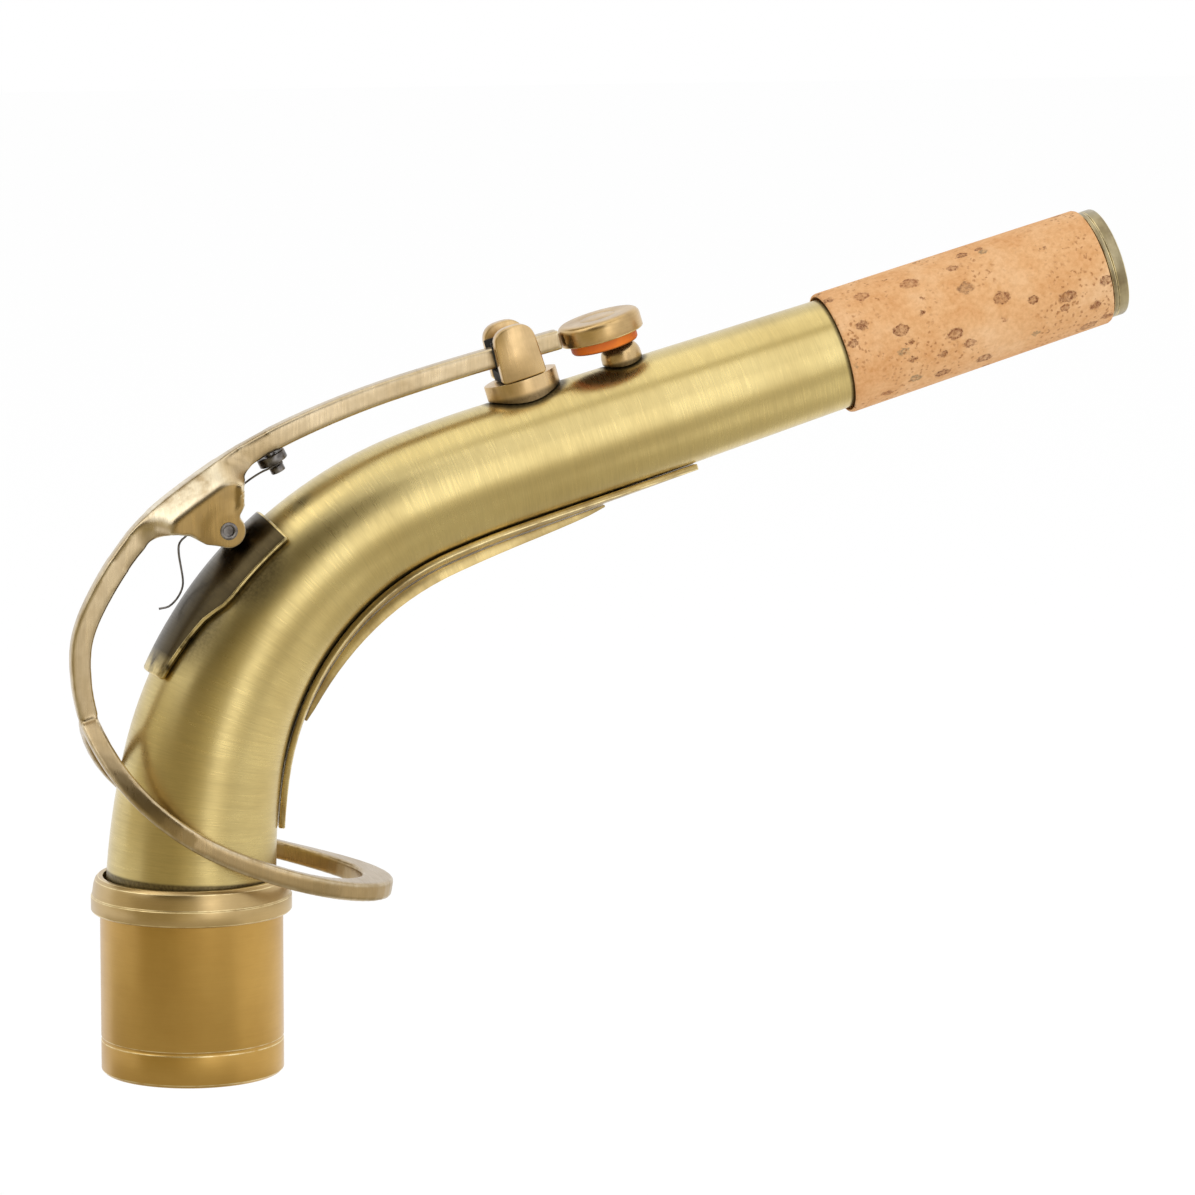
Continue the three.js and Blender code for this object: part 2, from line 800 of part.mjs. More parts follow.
// The yoke's outline in side view, as X and Z places.
function yokeOutline() {
  const foot = (share) => {
    const { origin, up } = leverAt(share);
    return origin.addScaledVector(up, -leverHalfDepth(share));
  };
  const place = ([along, out]) => fromPivot(yokeDepth * along, yokeDepth * out);
  const points = [...yokeTop(), foot(yokeFrontShare), ...frontEdgeShares.map(place)];
  const steps = 14;
  for (let i = 0; i <= steps; i += 1) {
    const angle = THREE.MathUtils.lerp(lobeStart, lobeEnd, i / steps);
    points.push(fromPivot(lobeRadius * Math.cos(angle), lobeRadius * Math.sin(angle)));
  }
  points.push(...rearEdgeShares.map(place), foot(yokeRearShare));
  return points.map((point) => new THREE.Vector2(point.x, point.z));
}

// A prism across Y of an outline in X and Z.
function acrossPrism(outline, halfWidth) {
  const flat = new THREE.Shape(outline);
  const options = { depth: 2 * halfWidth, bevelEnabled: false };
  const geometry = new THREE.ExtrudeGeometry(flat, options);
  geometry.rotateX(rightAngle);
  geometry.translate(0, halfWidth, 0);
  return geometry;
}

// A solid along the ridge whose half-width at each depth is given by shares,
// and which spreads from a bare width at its ends to the full width.
function ridgeSolid(ridge, shares, fullWidth, bareWidth, reachShare) {
  const sections = spreadShares.map((place) => {
    const from = Math.max(0, Math.abs(place) - 0.35) / 0.7;
    const spread = 1 - THREE.MathUtils.smoothstep(from, 0, 1);
    const half = ([depth, width]) => [
      THREE.MathUtils.lerp(Math.min(bareWidth, fullWidth * width), fullWidth * width, spread),
      -yokeDepth * depth,
    ];
    const right = shares.map(half);
    const left = right.map(([width, depth]) => [-width, depth]).reverse();
    const outline = [...right, ...left].map(([x, y]) => new THREE.Vector2(x, y));
    const origin = ridge.origin.clone().addScaledVector(ridge.along, place * reachShare * yokeDepth);
    return { origin, across: yAxis, up: ridge.up, outline };
  });
  return solid(skin(sections));
}

function makeYoke() {
  const top = yokeTop();
  const along = top.at(-1).clone().sub(top[0]).normalize();
  const up = new THREE.Vector3().crossVectors(along, yAxis);
  const crown = Math.max(...top.map((point) => point.dot(up)));
  const pivot = fromPivot(0, 0);
  const origin = pivot.clone().addScaledVector(up, crown - pivot.dot(up));
  const ridge = { origin, along, up };
  const body = solid(acrossPrism(yokeOutline(), 2 * earReach));
  const flare = ridgeSolid(ridge, flareShares, earReach, leverWidth / 2, 1.25);
  const hollow = ridgeSolid(ridge, hollowShares, earInside, leverWidth / 5, 0.8);
  const pin = rod(pivotPinRadius + pinGap, 4 * earReach);
  const sink = rod(pivotHeadRadius + pinGap, 2 * (pivotHeadHeight + pinGap));
  sink.translate(0, -earReach, 0);
  const bores = solid(pin).add(solid(sink));
  const drilled = shape(bores);
  drilled.applyMatrix4(pivotFrame.matrixWorld);
  const screwHole = upright(rod(bossScrewRadius + solderGap, 2 * bossScrewDepth), 0);
  screwHole.applyMatrix4(bossFrame.matrixWorld);
  const cut = body.intersect(flare).subtract(hollow).subtract(solid(drilled));
  add('lever_yoke', shape(cut.subtract(solid(screwHole))), 'fittings');
}

// Pivot screw: its head is sunk in the near ear
const pivotHeadRadius = 1.2;
const pivotHeadHeight = 0.8;
const pivotSocketRadius = 0.7;
const pivotSocketDepth = 0.45;

function makePivotScrew() {
  const shank = rod(pivotPinRadius, 2 * earReach - pivotHeadHeight);
  shank.translate(0, pivotHeadHeight / 2 - pinGap, 0);
  const head = rod(pivotHeadRadius, pivotHeadHeight);
  head.translate(0, pivotHeadHeight / 2 - earReach, 0);
  const socket = rod(pivotSocketRadius, 2 * pivotSocketDepth);
  socket.translate(0, -earReach, 0);
  const screw = solid(shank).add(solid(head)).subtract(solid(socket));
  add('pivot_screw', shape(screw), 'steel', pivotFrame);
}

function makeRearArm() {
  const stop = 1 - (ringBandWidth / 2 + solderGap / 2) / leverLength;
  add('lever_rear_arm', leverBar(yokeRearShare, stop, 26), 'fittings');
}

// Octave ring: a closed band round the foot of the tube. Its plan is two half
// circles joined by straights, and its side view is a curve that falls from
// behind the tube to in front of the collar.
const ringClearance = 0.85;
const ringFrontWidth = 4.3;
const ringWaistShare = 0.61;
const ringBackPower = 1.3;
const ringWaistRise = 3.6;
const ringFrontDrop = 2.1;
const ringSideSteps = 7;
const ringEndSteps = 22;
const ringHalf = neckBaseDiameter / 2 + ringClearance + ringBandWidth / 2;
const ringBack = onNeck(ringBackStation, ringBackHeight);
const ringFrontX = ringReach - ringFrontWidth / 2;
const collarTop = tenonLength + collarHeight;

// The ring's height and its slope in side view at a place along X.
function ringSide(x) {
  const waist = new THREE.Vector2(ringWaistShare * ringBack.x, collarTop + ringWaistRise);
  const front = new THREE.Vector2(ringFrontX, collarTop - ringFrontDrop);
  const back = new THREE.Vector2(ringBack.x, ringBack.z);
  const bend = back.x - 2 * waist.x + front.x;
  const lean = waist.x - back.x;
  const inside = Math.max(0, lean * lean + bend * (x - back.x));
  const t = (Math.sqrt(inside) - lean) / bend;
  const curve = new THREE.QuadraticBezierCurve(back, waist, front);
  const slope = curve.getTangent(THREE.MathUtils.clamp(t, 0, 1));
  return { z: curve.getPoint(t).y, slope };
}

function ringPlan() {
  const backCentre = ringBack.x + ringHalf;
  const frontCentre = ringFrontX - ringHalf;
  const plan = [];
  for (let i = 0; i < ringEndSteps; i += 1) {
    const angle = rightAngle + (Math.PI * i) / ringEndSteps;
    const side = Math.sin(angle);
    const spread = Math.sign(side) * Math.abs(side) ** ringBackPower;
    plan.push([backCentre + ringHalf * Math.cos(angle), ringHalf * spread]);
  }
  for (let i = 0; i < ringSideSteps; i += 1) {
    plan.push([THREE.MathUtils.lerp(backCentre, frontCentre, i / ringSideSteps), -ringHalf]);
  }
  for (let i = 0; i < ringEndSteps; i += 1) {
    const angle = (Math.PI * i) / ringEndSteps - rightAngle;
    plan.push([frontCentre + ringHalf * Math.cos(angle), ringHalf * Math.sin(angle)]);
  }
  for (let i = 0; i < ringSideSteps; i += 1) {
    plan.push([THREE.MathUtils.lerp(frontCentre, backCentre, i / ringSideSteps), ringHalf]);
  }
  return plan;
}

function makeRing() {
  const frontCentre = ringFrontX - ringHalf;
  const path = ringPlan().map(([x, y]) => new THREE.Vector3(x, y, ringSide(x).z));
  const sections = path.map((origin, i) => {
    const next = path[(i + 1) % path.length];
    const last = path[(i + path.length - 1) % path.length];
    const along = next.clone().sub(last).normalize();
    const { slope } = ringSide(origin.x);
    const up = new THREE.Vector3(-slope.y, 0, slope.x).normalize();
    const across = new THREE.Vector3().crossVectors(along, up).normalize();
    const front = THREE.MathUtils.smoothstep(origin.x, frontCentre, ringFrontX);
    const width = THREE.MathUtils.lerp(ringBandWidth, ringFrontWidth, front);
    return { origin, across, up, outline: barOutline(width / 2, ringBandDepth / 2) };
  });
  add('octave_ring', skin(sections, true), 'fittings');
}

// Fork guide: a boat-shaped base with two prongs and a lining
const guideToPad = 12.45;
const guideStation = padStation - guideToPad;
const guideBaseLength = 10.2;
const guideBaseWidth = 7.9;
const guideBaseHeight = 2.3;
const guideBoatPower = 1.25;
const prongWidth = 6.2;
const prongTopWidth = 5.8;
const prongHeight = 7.3;
const prongThickness = 1.5;
const prongRound = 2.3;
const prongBevel = 0.25;
const linerWall = 0.4;
const linerLength = 6.8;
const linerHeight = 6.1;
const leverHeightAtGuide = onLeverAbove(guideStation);
const slotHalf = leverWidth / 2 + runningGap;
const prongInside = slotHalf + linerWall + solderGap / 2;

// The height of the lever's underside over the tube at a station.
function onLeverAbove(station) {
  const share = leverShareNear(onNeck(station, leverRise / 2));
  const point = leverLine.getPointAt(share);
  const { origin, out, radius } = neckAt(station);
  return point.sub(origin).dot(out) - radius - leverHalfDepth(share);
}

function makeGuide() {
  const stand = standOnNeck(guideStation, 0);
  const boat = [];
  for (let i = 0; i < roundSides; i += 1) {
    const angle = (fullTurn * i) / roundSides;
    const side = Math.sin(angle);
    const bulge = Math.sign(side) * Math.abs(side) ** guideBoatPower;
    boat.push(new THREE.Vector2(
      (guideBaseLength / 2) * Math.cos(angle), (guideBaseWidth / 2) * bulge,
    ));
  }
  const depth = guideBaseHeight + cutOverrun;
  const base = new THREE.ExtrudeGeometry(new THREE.Shape(boat), { depth, bevelEnabled: false });
  base.translate(0, 0, -cutOverrun);
  base.applyMatrix4(stand.matrixWorld);
  const reach = guideBaseLength;
  const bar = neckBar(guideStation - reach, guideStation + reach, solderGap);
  add('guide_base', shape(solid(base).subtract(solid(bar))), 'fittings');

  const foot = prongWidth / 2 - prongBevel;
  const top = prongTopWidth / 2 - prongBevel;
  const tall = prongHeight - 2 * prongBevel;
  const prong = new THREE.Shape();
  prong.moveTo(-foot, 0);
  prong.lineTo(foot, 0);
  prong.lineTo(top, tall - prongRound);
  prong.quadraticCurveTo(top, tall, top - prongRound, tall);
  prong.lineTo(prongRound - top, tall);
  prong.quadraticCurveTo(-top, tall, -top, tall - prongRound);
  prong.closePath();
  const options = {
    depth: prongThickness - 2 * prongBevel,
    bevelThickness: prongBevel,
    bevelSize: prongBevel,
    bevelSegments: 2,
    curveSegments: 7,
  };
  for (const [name, side] of [['guide_prong_near', -1], ['guide_prong_far', 1]]) {
    const blade = new THREE.ExtrudeGeometry(prong, options);
    blade.translate(0, prongBevel, prongBevel - prongThickness / 2);
    blade.rotateX(rightAngle);
    const mesh = add(name, shape(solid(blade)), 'fittings', stand);
    mesh.position.y = side * (prongInside + prongThickness / 2);
    mesh.position.z = guideBaseHeight + solderGap / 2;
  }

  const low = guideBaseHeight + solderGap / 2;
  const pad = leverHeightAtGuide - runningGap;
  const outer = slotHalf + linerWall;
  const tray = new THREE.Shape([
    [-outer, low], [outer, low], [outer, low + linerHeight], [slotHalf, low + linerHeight],
    [slotHalf, pad], [-slotHalf, pad], [-slotHalf, low + linerHeight], [-outer, low + linerHeight],
  ].map(([x, y]) => new THREE.Vector2(x, y)));
  const lining = new THREE.ExtrudeGeometry(tray, { depth: linerLength, bevelEnabled: false });
  lining.translate(0, 0, -linerLength / 2);
  const turn = new THREE.Matrix4().makeBasis(yAxis, new THREE.Vector3(0, 0, 1), xAxis);
  lining.applyMatrix4(turn);
  add('guide_liner', shape(solid(lining)), 'liner', stand);
}

// Return spring: a wire clamped under the boss screw, which runs back through
// the yoke, over the hinge post and down onto the saddle. Shares are of the
// pivot's depth, in the pivot's frame.
const springBossSide = -(bossScrewRadius + springRadius + springGap);
const springYokeShares = [[0.82, 0.19], [0, 0.275], [-0.5, 0.338]];
const springKneeShares = [-0.68, 0.322];
const springFootBack = 7.7;
const springFootStation = pivotStation - springFootBack;
const springTailRun = 2.4;
const springTipRun = 3.3;
const springTipHeight = 1.1;
const springSides = 8;
const springSteps = 60;

function makeSpring() {
  const seat = -solderGap - bossThickness - springRadius - springGap;
  const onBoss = (along, side) => (
    bossFrame.localToWorld(new THREE.Vector3(along, side, seat))
  );
  const rest = solderGap + saddleThickness + springRadius + springFootGap;
  const points = [
    onBoss(bossScrewHead, springBossSide),
    onBoss(-bossScrewHead, springBossSide),
    onBoss(-bossRadius, springBossSide / 2),
    ...springYokeShares.map(([along, out]) => fromPivot(yokeDepth * along, yokeDepth * out)),
    fromPivot(yokeDepth * springKneeShares[0], yokeDepth * springKneeShares[1]),
    onNeck(springFootStation, rest),
    onNeck(springFootStation - springTailRun, rest),
    onNeck(springFootStation - springTipRun, rest + springTipHeight),
  ];
  const route = new THREE.CatmullRomCurve3(points, false, 'centripetal');
  const wire = new THREE.Shape(circle(springRadius, springSides));
  const options = { steps: springSteps, extrudePath: route, bevelEnabled: false };
  add('key_spring', shape(solid(new THREE.ExtrudeGeometry(wire, options))), 'steel');
}

makeTenon();
makeCollar();
makeNeckTube();
makeTip();
makeBrace();
makeSaddle();
makeHingePost();
makeVent();
makeGuide();
makePadCup();
makeFrontArm();
makeYoke();
makeRearArm();
makeRing();
makePivotScrew();
makeSpringBoss();
makeSpring();

export default root;
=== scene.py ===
import bpy
import bmesh
import math
from mathutils import Matrix, Vector
from mathutils.kdtree import KDTree


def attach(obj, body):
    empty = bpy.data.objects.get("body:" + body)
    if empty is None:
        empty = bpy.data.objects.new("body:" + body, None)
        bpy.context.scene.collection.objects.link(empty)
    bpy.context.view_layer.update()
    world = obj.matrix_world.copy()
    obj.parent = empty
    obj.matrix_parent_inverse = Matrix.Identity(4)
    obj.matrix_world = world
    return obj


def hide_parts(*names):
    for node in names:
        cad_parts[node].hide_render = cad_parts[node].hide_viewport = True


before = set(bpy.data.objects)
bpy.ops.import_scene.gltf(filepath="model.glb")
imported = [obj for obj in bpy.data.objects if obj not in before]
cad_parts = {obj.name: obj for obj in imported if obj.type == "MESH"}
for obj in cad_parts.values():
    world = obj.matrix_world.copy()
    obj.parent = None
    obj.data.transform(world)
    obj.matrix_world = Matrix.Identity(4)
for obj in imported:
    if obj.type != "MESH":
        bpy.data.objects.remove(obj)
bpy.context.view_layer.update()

# Camera
# The camera stands in front and a little to the left, just above the neck,
# and looks through a long lens, so the tube's bend is seen almost side-on.
MM = 0.001
LENS = 178.07
SENSOR_WIDTH = 36.0
CLIP_NEAR = 0.05
CLIP_FAR = 20.0
camera_target = Vector((56.09, 0.0, 62.07)) * MM
camera_distance = 800 * MM
camera_azimuth = math.radians(-14.52)
camera_elevation = math.radians(8.5)
camera_roll = math.radians(0.11)

back = Vector((
    math.sin(camera_azimuth) * math.cos(camera_elevation),
    -math.cos(camera_azimuth) * math.cos(camera_elevation),
    math.sin(camera_elevation),
))
level = Vector((math.cos(camera_azimuth), math.sin(camera_azimuth), 0.0))
upright = back.cross(level)
side = level * math.cos(camera_roll) + upright * math.sin(camera_roll)
rise = upright * math.cos(camera_roll) - level * math.sin(camera_roll)
camera_data = bpy.data.cameras.new("camera")
camera_data.lens = LENS
camera_data.sensor_width = SENSOR_WIDTH
camera_data.clip_start = CLIP_NEAR
camera_data.clip_end = CLIP_FAR
camera = bpy.data.objects.new("camera", camera_data)
camera.matrix_world = (
    Matrix.Translation(camera_target + back * camera_distance)
    @ Matrix((side, rise, back)).transposed().to_4x4()
)
bpy.context.scene.collection.objects.link(camera)
bpy.context.scene.camera = camera
bpy.context.scene.view_settings.view_transform = "Standard"

# Floor, world, lamps and cards
# A white room with a pale floor far below the neck, and two soft lamps. Cards,
# dark, grey and bright, stand round it as they do round any polished metal in
# a studio: the brass mirrors them as its bands. Only reflections show them.
FLOOR_DROP = 60 * MM
FLOOR_SIZE = 6.0
FLOOR_GREY = 0.84
FLOOR_LIFT = 0.15
CARD_STEPS = 32
middle = Vector((60.0, 0.0, 60.0)) * MM


def put(tree, kind, inputs=None, **settings):
    """Adds a shader node, sets it up and links or fills its inputs."""
    node = tree.nodes.new(kind)
    for name, value in settings.items():
        setattr(node, name, value)
    for name, value in (inputs or {}).items():
        if isinstance(value, bpy.types.NodeSocket):
            tree.links.new(value, node.inputs[name])
        else:
            node.inputs[name].default_value = value
    return node


def bare_material(name):
    """A new material and its emptied shader tree."""
    material = bpy.data.materials.new(name)
    material.use_nodes = True
    material.node_tree.nodes.clear()
    return material, material.node_tree


world = bpy.data.worlds.new("white_room")
bpy.context.scene.world = world
world.use_nodes = True
room = world.node_tree
room.nodes.clear()
WHITE = (1.0, 1.0, 1.0, 1.0)
sky = put(room, "ShaderNodeBackground", {"Color": WHITE, "Strength": 1.0})
put(room, "ShaderNodeOutputWorld", {"Surface": sky.outputs[0]})

floor_mesh = bpy.data.meshes.new("floor")
sheet = bmesh.new()
bmesh.ops.create_grid(sheet, x_segments=2, y_segments=2, size=FLOOR_SIZE / 2)
bmesh.ops.translate(sheet, verts=sheet.verts, vec=(0.0, 0.0, -FLOOR_DROP))
sheet.to_mesh(floor_mesh)
sheet.free()
floor = bpy.data.objects.new("floor", floor_mesh)
bpy.context.scene.collection.objects.link(floor)
paper, tree = bare_material("white_paper")
matt = put(tree, "ShaderNodeBsdfDiffuse", {"Color": (FLOOR_GREY, FLOOR_GREY, FLOOR_GREY, 1.0)})
rays = put(tree, "ShaderNodeLightPath").outputs
seen = put(tree, "ShaderNodeMath", {
    0: rays["Is Camera Ray"], 1: rays["Is Glossy Ray"]}, operation="MAXIMUM")
seen = put(tree, "ShaderNodeMath", {
    0: seen.outputs[0], 1: rays["Is Transmission Ray"]}, operation="MAXIMUM")
lift = put(tree, "ShaderNodeMath", {0: seen.outputs[0], 1: FLOOR_LIFT}, operation="MULTIPLY")
glow = put(tree, "ShaderNodeEmission", {"Color": WHITE, "Strength": lift.outputs[0]})
both = put(tree, "ShaderNodeAddShader", {0: matt.outputs[0], 1: glow.outputs[0]})
put(tree, "ShaderNodeOutputMaterial", {"Surface": both.outputs[0]})
floor_mesh.materials.append(paper)


def soft_lamp(name, place, width, height, power):
    """A rectangular soft lamp that faces the neck."""
    data = bpy.data.lights.new(name, "AREA")
    data.shape = "RECTANGLE"
    data.size = width
    data.size_y = height
    data.energy = power
    lamp = bpy.data.objects.new(name, data)
    facing = middle - Vector(place)
    lamp.matrix_world = (
        Matrix.Translation(place) @ facing.to_track_quat("-Z", "Y").to_matrix().to_4x4()
    )
    bpy.context.scene.collection.objects.link(lamp)


soft_lamp("top_lamp", (0.25, -0.55, 0.72), 0.7, 0.5, 0.6)
soft_lamp("right_lamp", (0.20, -0.9, 0.22), 0.3, 0.6, 0.45)


def card(name, left, right, start, end, tone):
    """A curved card round the neck: its ends in degrees to the right of the
    camera, and its two edges as distances from the neck and heights above it."""
    line = bmesh.new()
    for distance, height in (start, end):
        line.verts.new((distance, 0.0, height))
    line.edges.new(line.verts)
    bmesh.ops.spin(
        line, geom=list(line.verts) + list(line.edges), cent=(0, 0, 0), axis=(0, 0, 1),
        angle=math.radians(right - left), steps=CARD_STEPS,
    )
    turn = camera_azimuth - math.pi / 2 + math.radians(left)
    bmesh.ops.rotate(line, verts=line.verts, matrix=Matrix.Rotation(turn, 3, "Z"))
    bmesh.ops.translate(line, verts=line.verts, vec=middle)
    mesh = bpy.data.meshes.new(name)
    line.to_mesh(mesh)
    line.free()
    sheet = bpy.data.objects.new(name, mesh)
    bpy.context.scene.collection.objects.link(sheet)
    sheet.visible_camera = False
    sheet.visible_diffuse = False
    sheet.visible_shadow = False
    face, tree = bare_material(name)
    shown = put(tree, "ShaderNodeEmission", {"Color": (*tone, 1.0), "Strength": 1.0})
    put(tree, "ShaderNodeOutputMaterial", {"Surface": shown.outputs[0]})
    mesh.materials.append(face)


ON_FLOOR = 2 * MM - FLOOR_DROP - middle.z
INSIDE = (0.03, ON_FLOOR)
NEAR = (0.36, ON_FLOOR)
FAR = (1.2, ON_FLOOR)
WALL_FOOT = (1.1, ON_FLOOR)
WALL_HEAD = (1.1, 0.33)
for name, left, right, start, end, tone in (
    ("low_card", -110, 48, INSIDE, NEAR, (0.52, 0.48, 0.38)),
    ("low_side", 48, 170, INSIDE, (0.13, ON_FLOOR), (0.60, 0.56, 0.45)),
    ("side_near", 48, 170, (0.13, ON_FLOOR), NEAR, (1.0, 0.96, 0.86)),
    ("side_floor", 46, 170, NEAR, FAR, (0.86, 0.84, 0.78)),
    ("dark_floor", -66, -18, NEAR, (1.0, ON_FLOOR), (0.40, 0.34, 0.16)),
    ("pale_floor", -18, -3, NEAR, FAR, (0.74, 0.66, 0.46)),
    ("front_near", -3, 46, NEAR, (0.68, ON_FLOOR), (0.72, 0.67, 0.55)),
    ("bright_floor", -3, 46, (0.68, ON_FLOOR), FAR, (1.15, 1.10, 0.98)),
    ("left_card", -100, -70, WALL_FOOT, (1.1, 0.40), (0.66, 0.60, 0.44)),
    ("half_card", -70, -12, WALL_FOOT, WALL_HEAD, (0.42, 0.36, 0.22)),
    ("centre_card", -12, 9, WALL_FOOT, WALL_HEAD, (0.52, 0.46, 0.29)),
    ("dark_card", -50, 10, WALL_HEAD, (0.66, 0.80), (0.08, 0.06, 0.02)),
    ("back_card", -140, -96, (0.9, 0.55), (0.5, 1.0), (0.26, 0.20, 0.09)),
    ("bright_card", -100, -50, (0.90, 0.55), (0.46, 1.10), (1.75, 1.72, 1.64)),
    ("high_card", 0, 50, (0.70, 1.20), (0.34, 1.20), (0.50, 0.44, 0.27)),
    ("ceiling_card", -180, 180, (0.02, 1.25), (0.42, 1.25), (1.35, 1.32, 1.22)),
    ("rear_ceiling", 135, 225, (0.42, 1.25), (0.75, 1.25), (1.45, 1.42, 1.32)),
):
    card(name, left, right, start, end, tone)

# Neck tube
# Drawn brass tube, bent round a mandrel and tapering from the tenon to the
# tip. It is brushed round its girth and has darkened a little with age.
TENON_LENGTH = 21.9 * MM
NECK_RUNS = (
    (2.1 * MM, 0.0),
    (90.6 * MM * math.radians(10.9), math.radians(10.9)),
    (47.8 * MM * math.radians(58.3), math.radians(58.3)),
    (160 * MM * math.radians(4.1), math.radians(4.1)),
    (89.6 * MM, 0.0),
)
NECK_LENGTH = sum(run for run, _ in NECK_RUNS)
BEND_START = NECK_RUNS[0][0] + NECK_RUNS[1][0]
THROAT_STATION = BEND_START + 0.78 * NECK_RUNS[2][0]
TAPER_BLEND = 8 * MM
BASE_RADIUS = 11.6 * MM
THROAT_RADIUS = 8.92 * MM
TIP_RADIUS = 6.85 * MM
WALL = 0.85 * MM
TIP_LIP = 1.0 * MM
TUBE_SIDES = 128
TUBE_STEP = 1.5 * MM


def neck_radius(station):
    """The tube's outside radius, narrowing fast to the throat and slowly on."""
    fast = (BASE_RADIUS - THROAT_RADIUS) / THROAT_STATION
    slow = (THROAT_RADIUS - TIP_RADIUS) / (NECK_LENGTH - THROAT_STATION)
    before = THROAT_STATION - station
    blended = (before + math.hypot(before, TAPER_BLEND)) / 2
    return THROAT_RADIUS + slow * before + (fast - slow) * blended


def neck_frame(station):
    """The tube's frame at a station: X along it, Z out of its top."""
    x, z, heading, left = 0.0, TENON_LENGTH, math.pi / 2, station
    for run, bend in NECK_RUNS:
        last = run == NECK_RUNS[-1][0]
        go = left if last else min(left, run)
        after = heading - bend * go / run
        if bend:
            x += run / bend * (math.sin(heading) - math.sin(after))
            z += run / bend * (math.cos(after) - math.cos(heading))
        else:
            x += go * math.cos(heading)
            z += go * math.sin(heading)
        heading, left = after, left - go
    along = Vector((math.cos(heading), 0.0, math.sin(heading)))
    out = Vector((-math.sin(heading), 0.0, math.cos(heading)))
    turned = Matrix((along, Vector((0.0, 1.0, 0.0)), out)).transposed().to_4x4()
    return Matrix.Translation((x, 0.0, z)) @ turned


neck_places = [neck_frame(i * MM) for i in range(int(NECK_LENGTH / MM) + 2)]


def unbend(point):
    """A point's place on the straightened neck: station, side and height."""
    nearest = min(
        range(len(neck_places)),
        key=lambda i: (neck_places[i].translation - point).length_squared,
    )
    local = neck_places[nearest].inverted() @ point
    return Vector((nearest * MM + local.x, local.y, local.z))


def make_piece(name, shaped, body, node, material, lay=None):
    """Turns a bmesh into a piece that stands for a CAD node, and lays a
    pattern on it: lay gives the pattern's own coordinates of each point."""
    mesh = bpy.data.meshes.new(name)
    shaped.to_mesh(mesh)
    shaped.free()
    if lay:
        pattern = mesh.attributes.new("lay", "FLOAT_VECTOR", "POINT")
        for vertex, value in zip(mesh.vertices, pattern.data):
            value.vector = lay(vertex.co)
    mesh.materials.append(material)
    piece = bpy.data.objects.new(name, mesh)
    bpy.context.scene.collection.objects.link(piece)
    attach(piece, body)
    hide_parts(node)
    return piece


def soften(shaped, width, angle=32, segments=2):
    """Breaks every sharp outer edge, marks it as worn, and shades the rest smooth."""
    wear_and_sheen = shaped.faces.layers.float.new("wear_and_sheen")
    bmesh.ops.recalc_face_normals(shaped, faces=shaped.faces)
    limit = math.radians(angle)
    if width:
        sharp = [
            e for e in shaped.edges
            if e.is_manifold and e.is_convex and e.calc_face_angle(0.0) > limit
        ]
        broken = bmesh.ops.bevel(
            shaped, geom=sharp, offset=width, offset_type="OFFSET", affect="EDGES",
            segments=segments, profile=0.5, material=-1, clamp_overlap=True,
        )
        for face in broken["faces"]:
            face[wear_and_sheen] = 1.0
    for face in shaped.faces:
        face.smooth = True
    for edge in shaped.edges:
        edge.smooth = not edge.is_manifold or edge.calc_face_angle(0.0) < limit


def math_node(tree, operation, first, second=0.0):
    """One sum on two values or sockets."""
    node = put(tree, "ShaderNodeMath", {0: first, 1: second}, operation=operation)
    return node.outputs[0]


def ramp(tree, factor, stops, interpolation="EASE"):
    """A colour ramp from (place, colour) pairs."""
    node = put(tree, "ShaderNodeValToRGB", {"Fac": factor})
    bar = node.color_ramp
    bar.interpolation = interpolation
    while len(bar.elements) < len(stops):
        bar.elements.new(0.5)
    for element, (place, colour) in zip(bar.elements, stops):
        element.position = place
        element.color = (*colour, 1.0)
    return node.outputs["Color"]


def mixed(tree, factor, first, second, blend="MIX"):
    """A colour mix of two colours or sockets."""
    node = tree.nodes.new("ShaderNodeMix")
    node.data_type = "RGBA"
    node.blend_type = blend
    for index, value in ((0, factor), (6, first), (7, second)):
        if isinstance(value, bpy.types.NodeSocket):
            tree.links.new(value, node.inputs[index])
        else:
            node.inputs[index].default_value = value
    return node.outputs[2]


brush_group = bpy.data.node_groups.new("brushed_brass", "ShaderNodeTree")
for name, kind, value in (
    ("Place", "NodeSocketVector", None),
    ("Wear And Sheen", "NodeSocketFloat", 0.0),
    ("Shade And Grime", "NodeSocketFloat", 0.0),
    ("Clean Colour", "NodeSocketColor", (0.64, 0.50, 0.22, 1.0)),
    ("Tarnish Colour", "NodeSocketColor", (0.4, 0.28, 0.1, 1.0)),
    ("Wear And Sheen Colour", "NodeSocketColor", (0.85, 0.70, 0.38, 1.0)),
    ("Tarnish", "NodeSocketFloat", 0.4),
    ("Tarnish Scale", "NodeSocketFloat", 90.0),
    ("Brush Contrast", "NodeSocketFloat", 0.12),
    ("Smoothness", "NodeSocketFloat", 0.3),
):
    socket = brush_group.interface.new_socket(name, in_out="INPUT", socket_type=kind)
    if value is not None:
        socket.default_value = value
for name, kind in (
    ("Colour", "NodeSocketColor"),
    ("Roughness", "NodeSocketFloat"),
    ("Height", "NodeSocketFloat"),
):
    brush_group.interface.new_socket(name, in_out="OUTPUT", socket_type=kind)
given = put(brush_group, "NodeGroupInput").outputs
fine = put(brush_group, "ShaderNodeMapping", {
    "Vector": given["Place"], "Scale": (5200.0, 260.0, 260.0)})
fine_lines = put(brush_group, "ShaderNodeTexNoise", {
    "Vector": fine.outputs[0], "Scale": 1.0, "Detail": 3.0, "Roughness": 0.7})
broad = put(brush_group, "ShaderNodeMapping", {
    "Vector": given["Place"], "Scale": (900.0, 60.0, 60.0)})
broad_lines = put(brush_group, "ShaderNodeTexNoise", {
    "Vector": broad.outputs[0], "Scale": 1.0, "Detail": 4.0, "Roughness": 0.65})
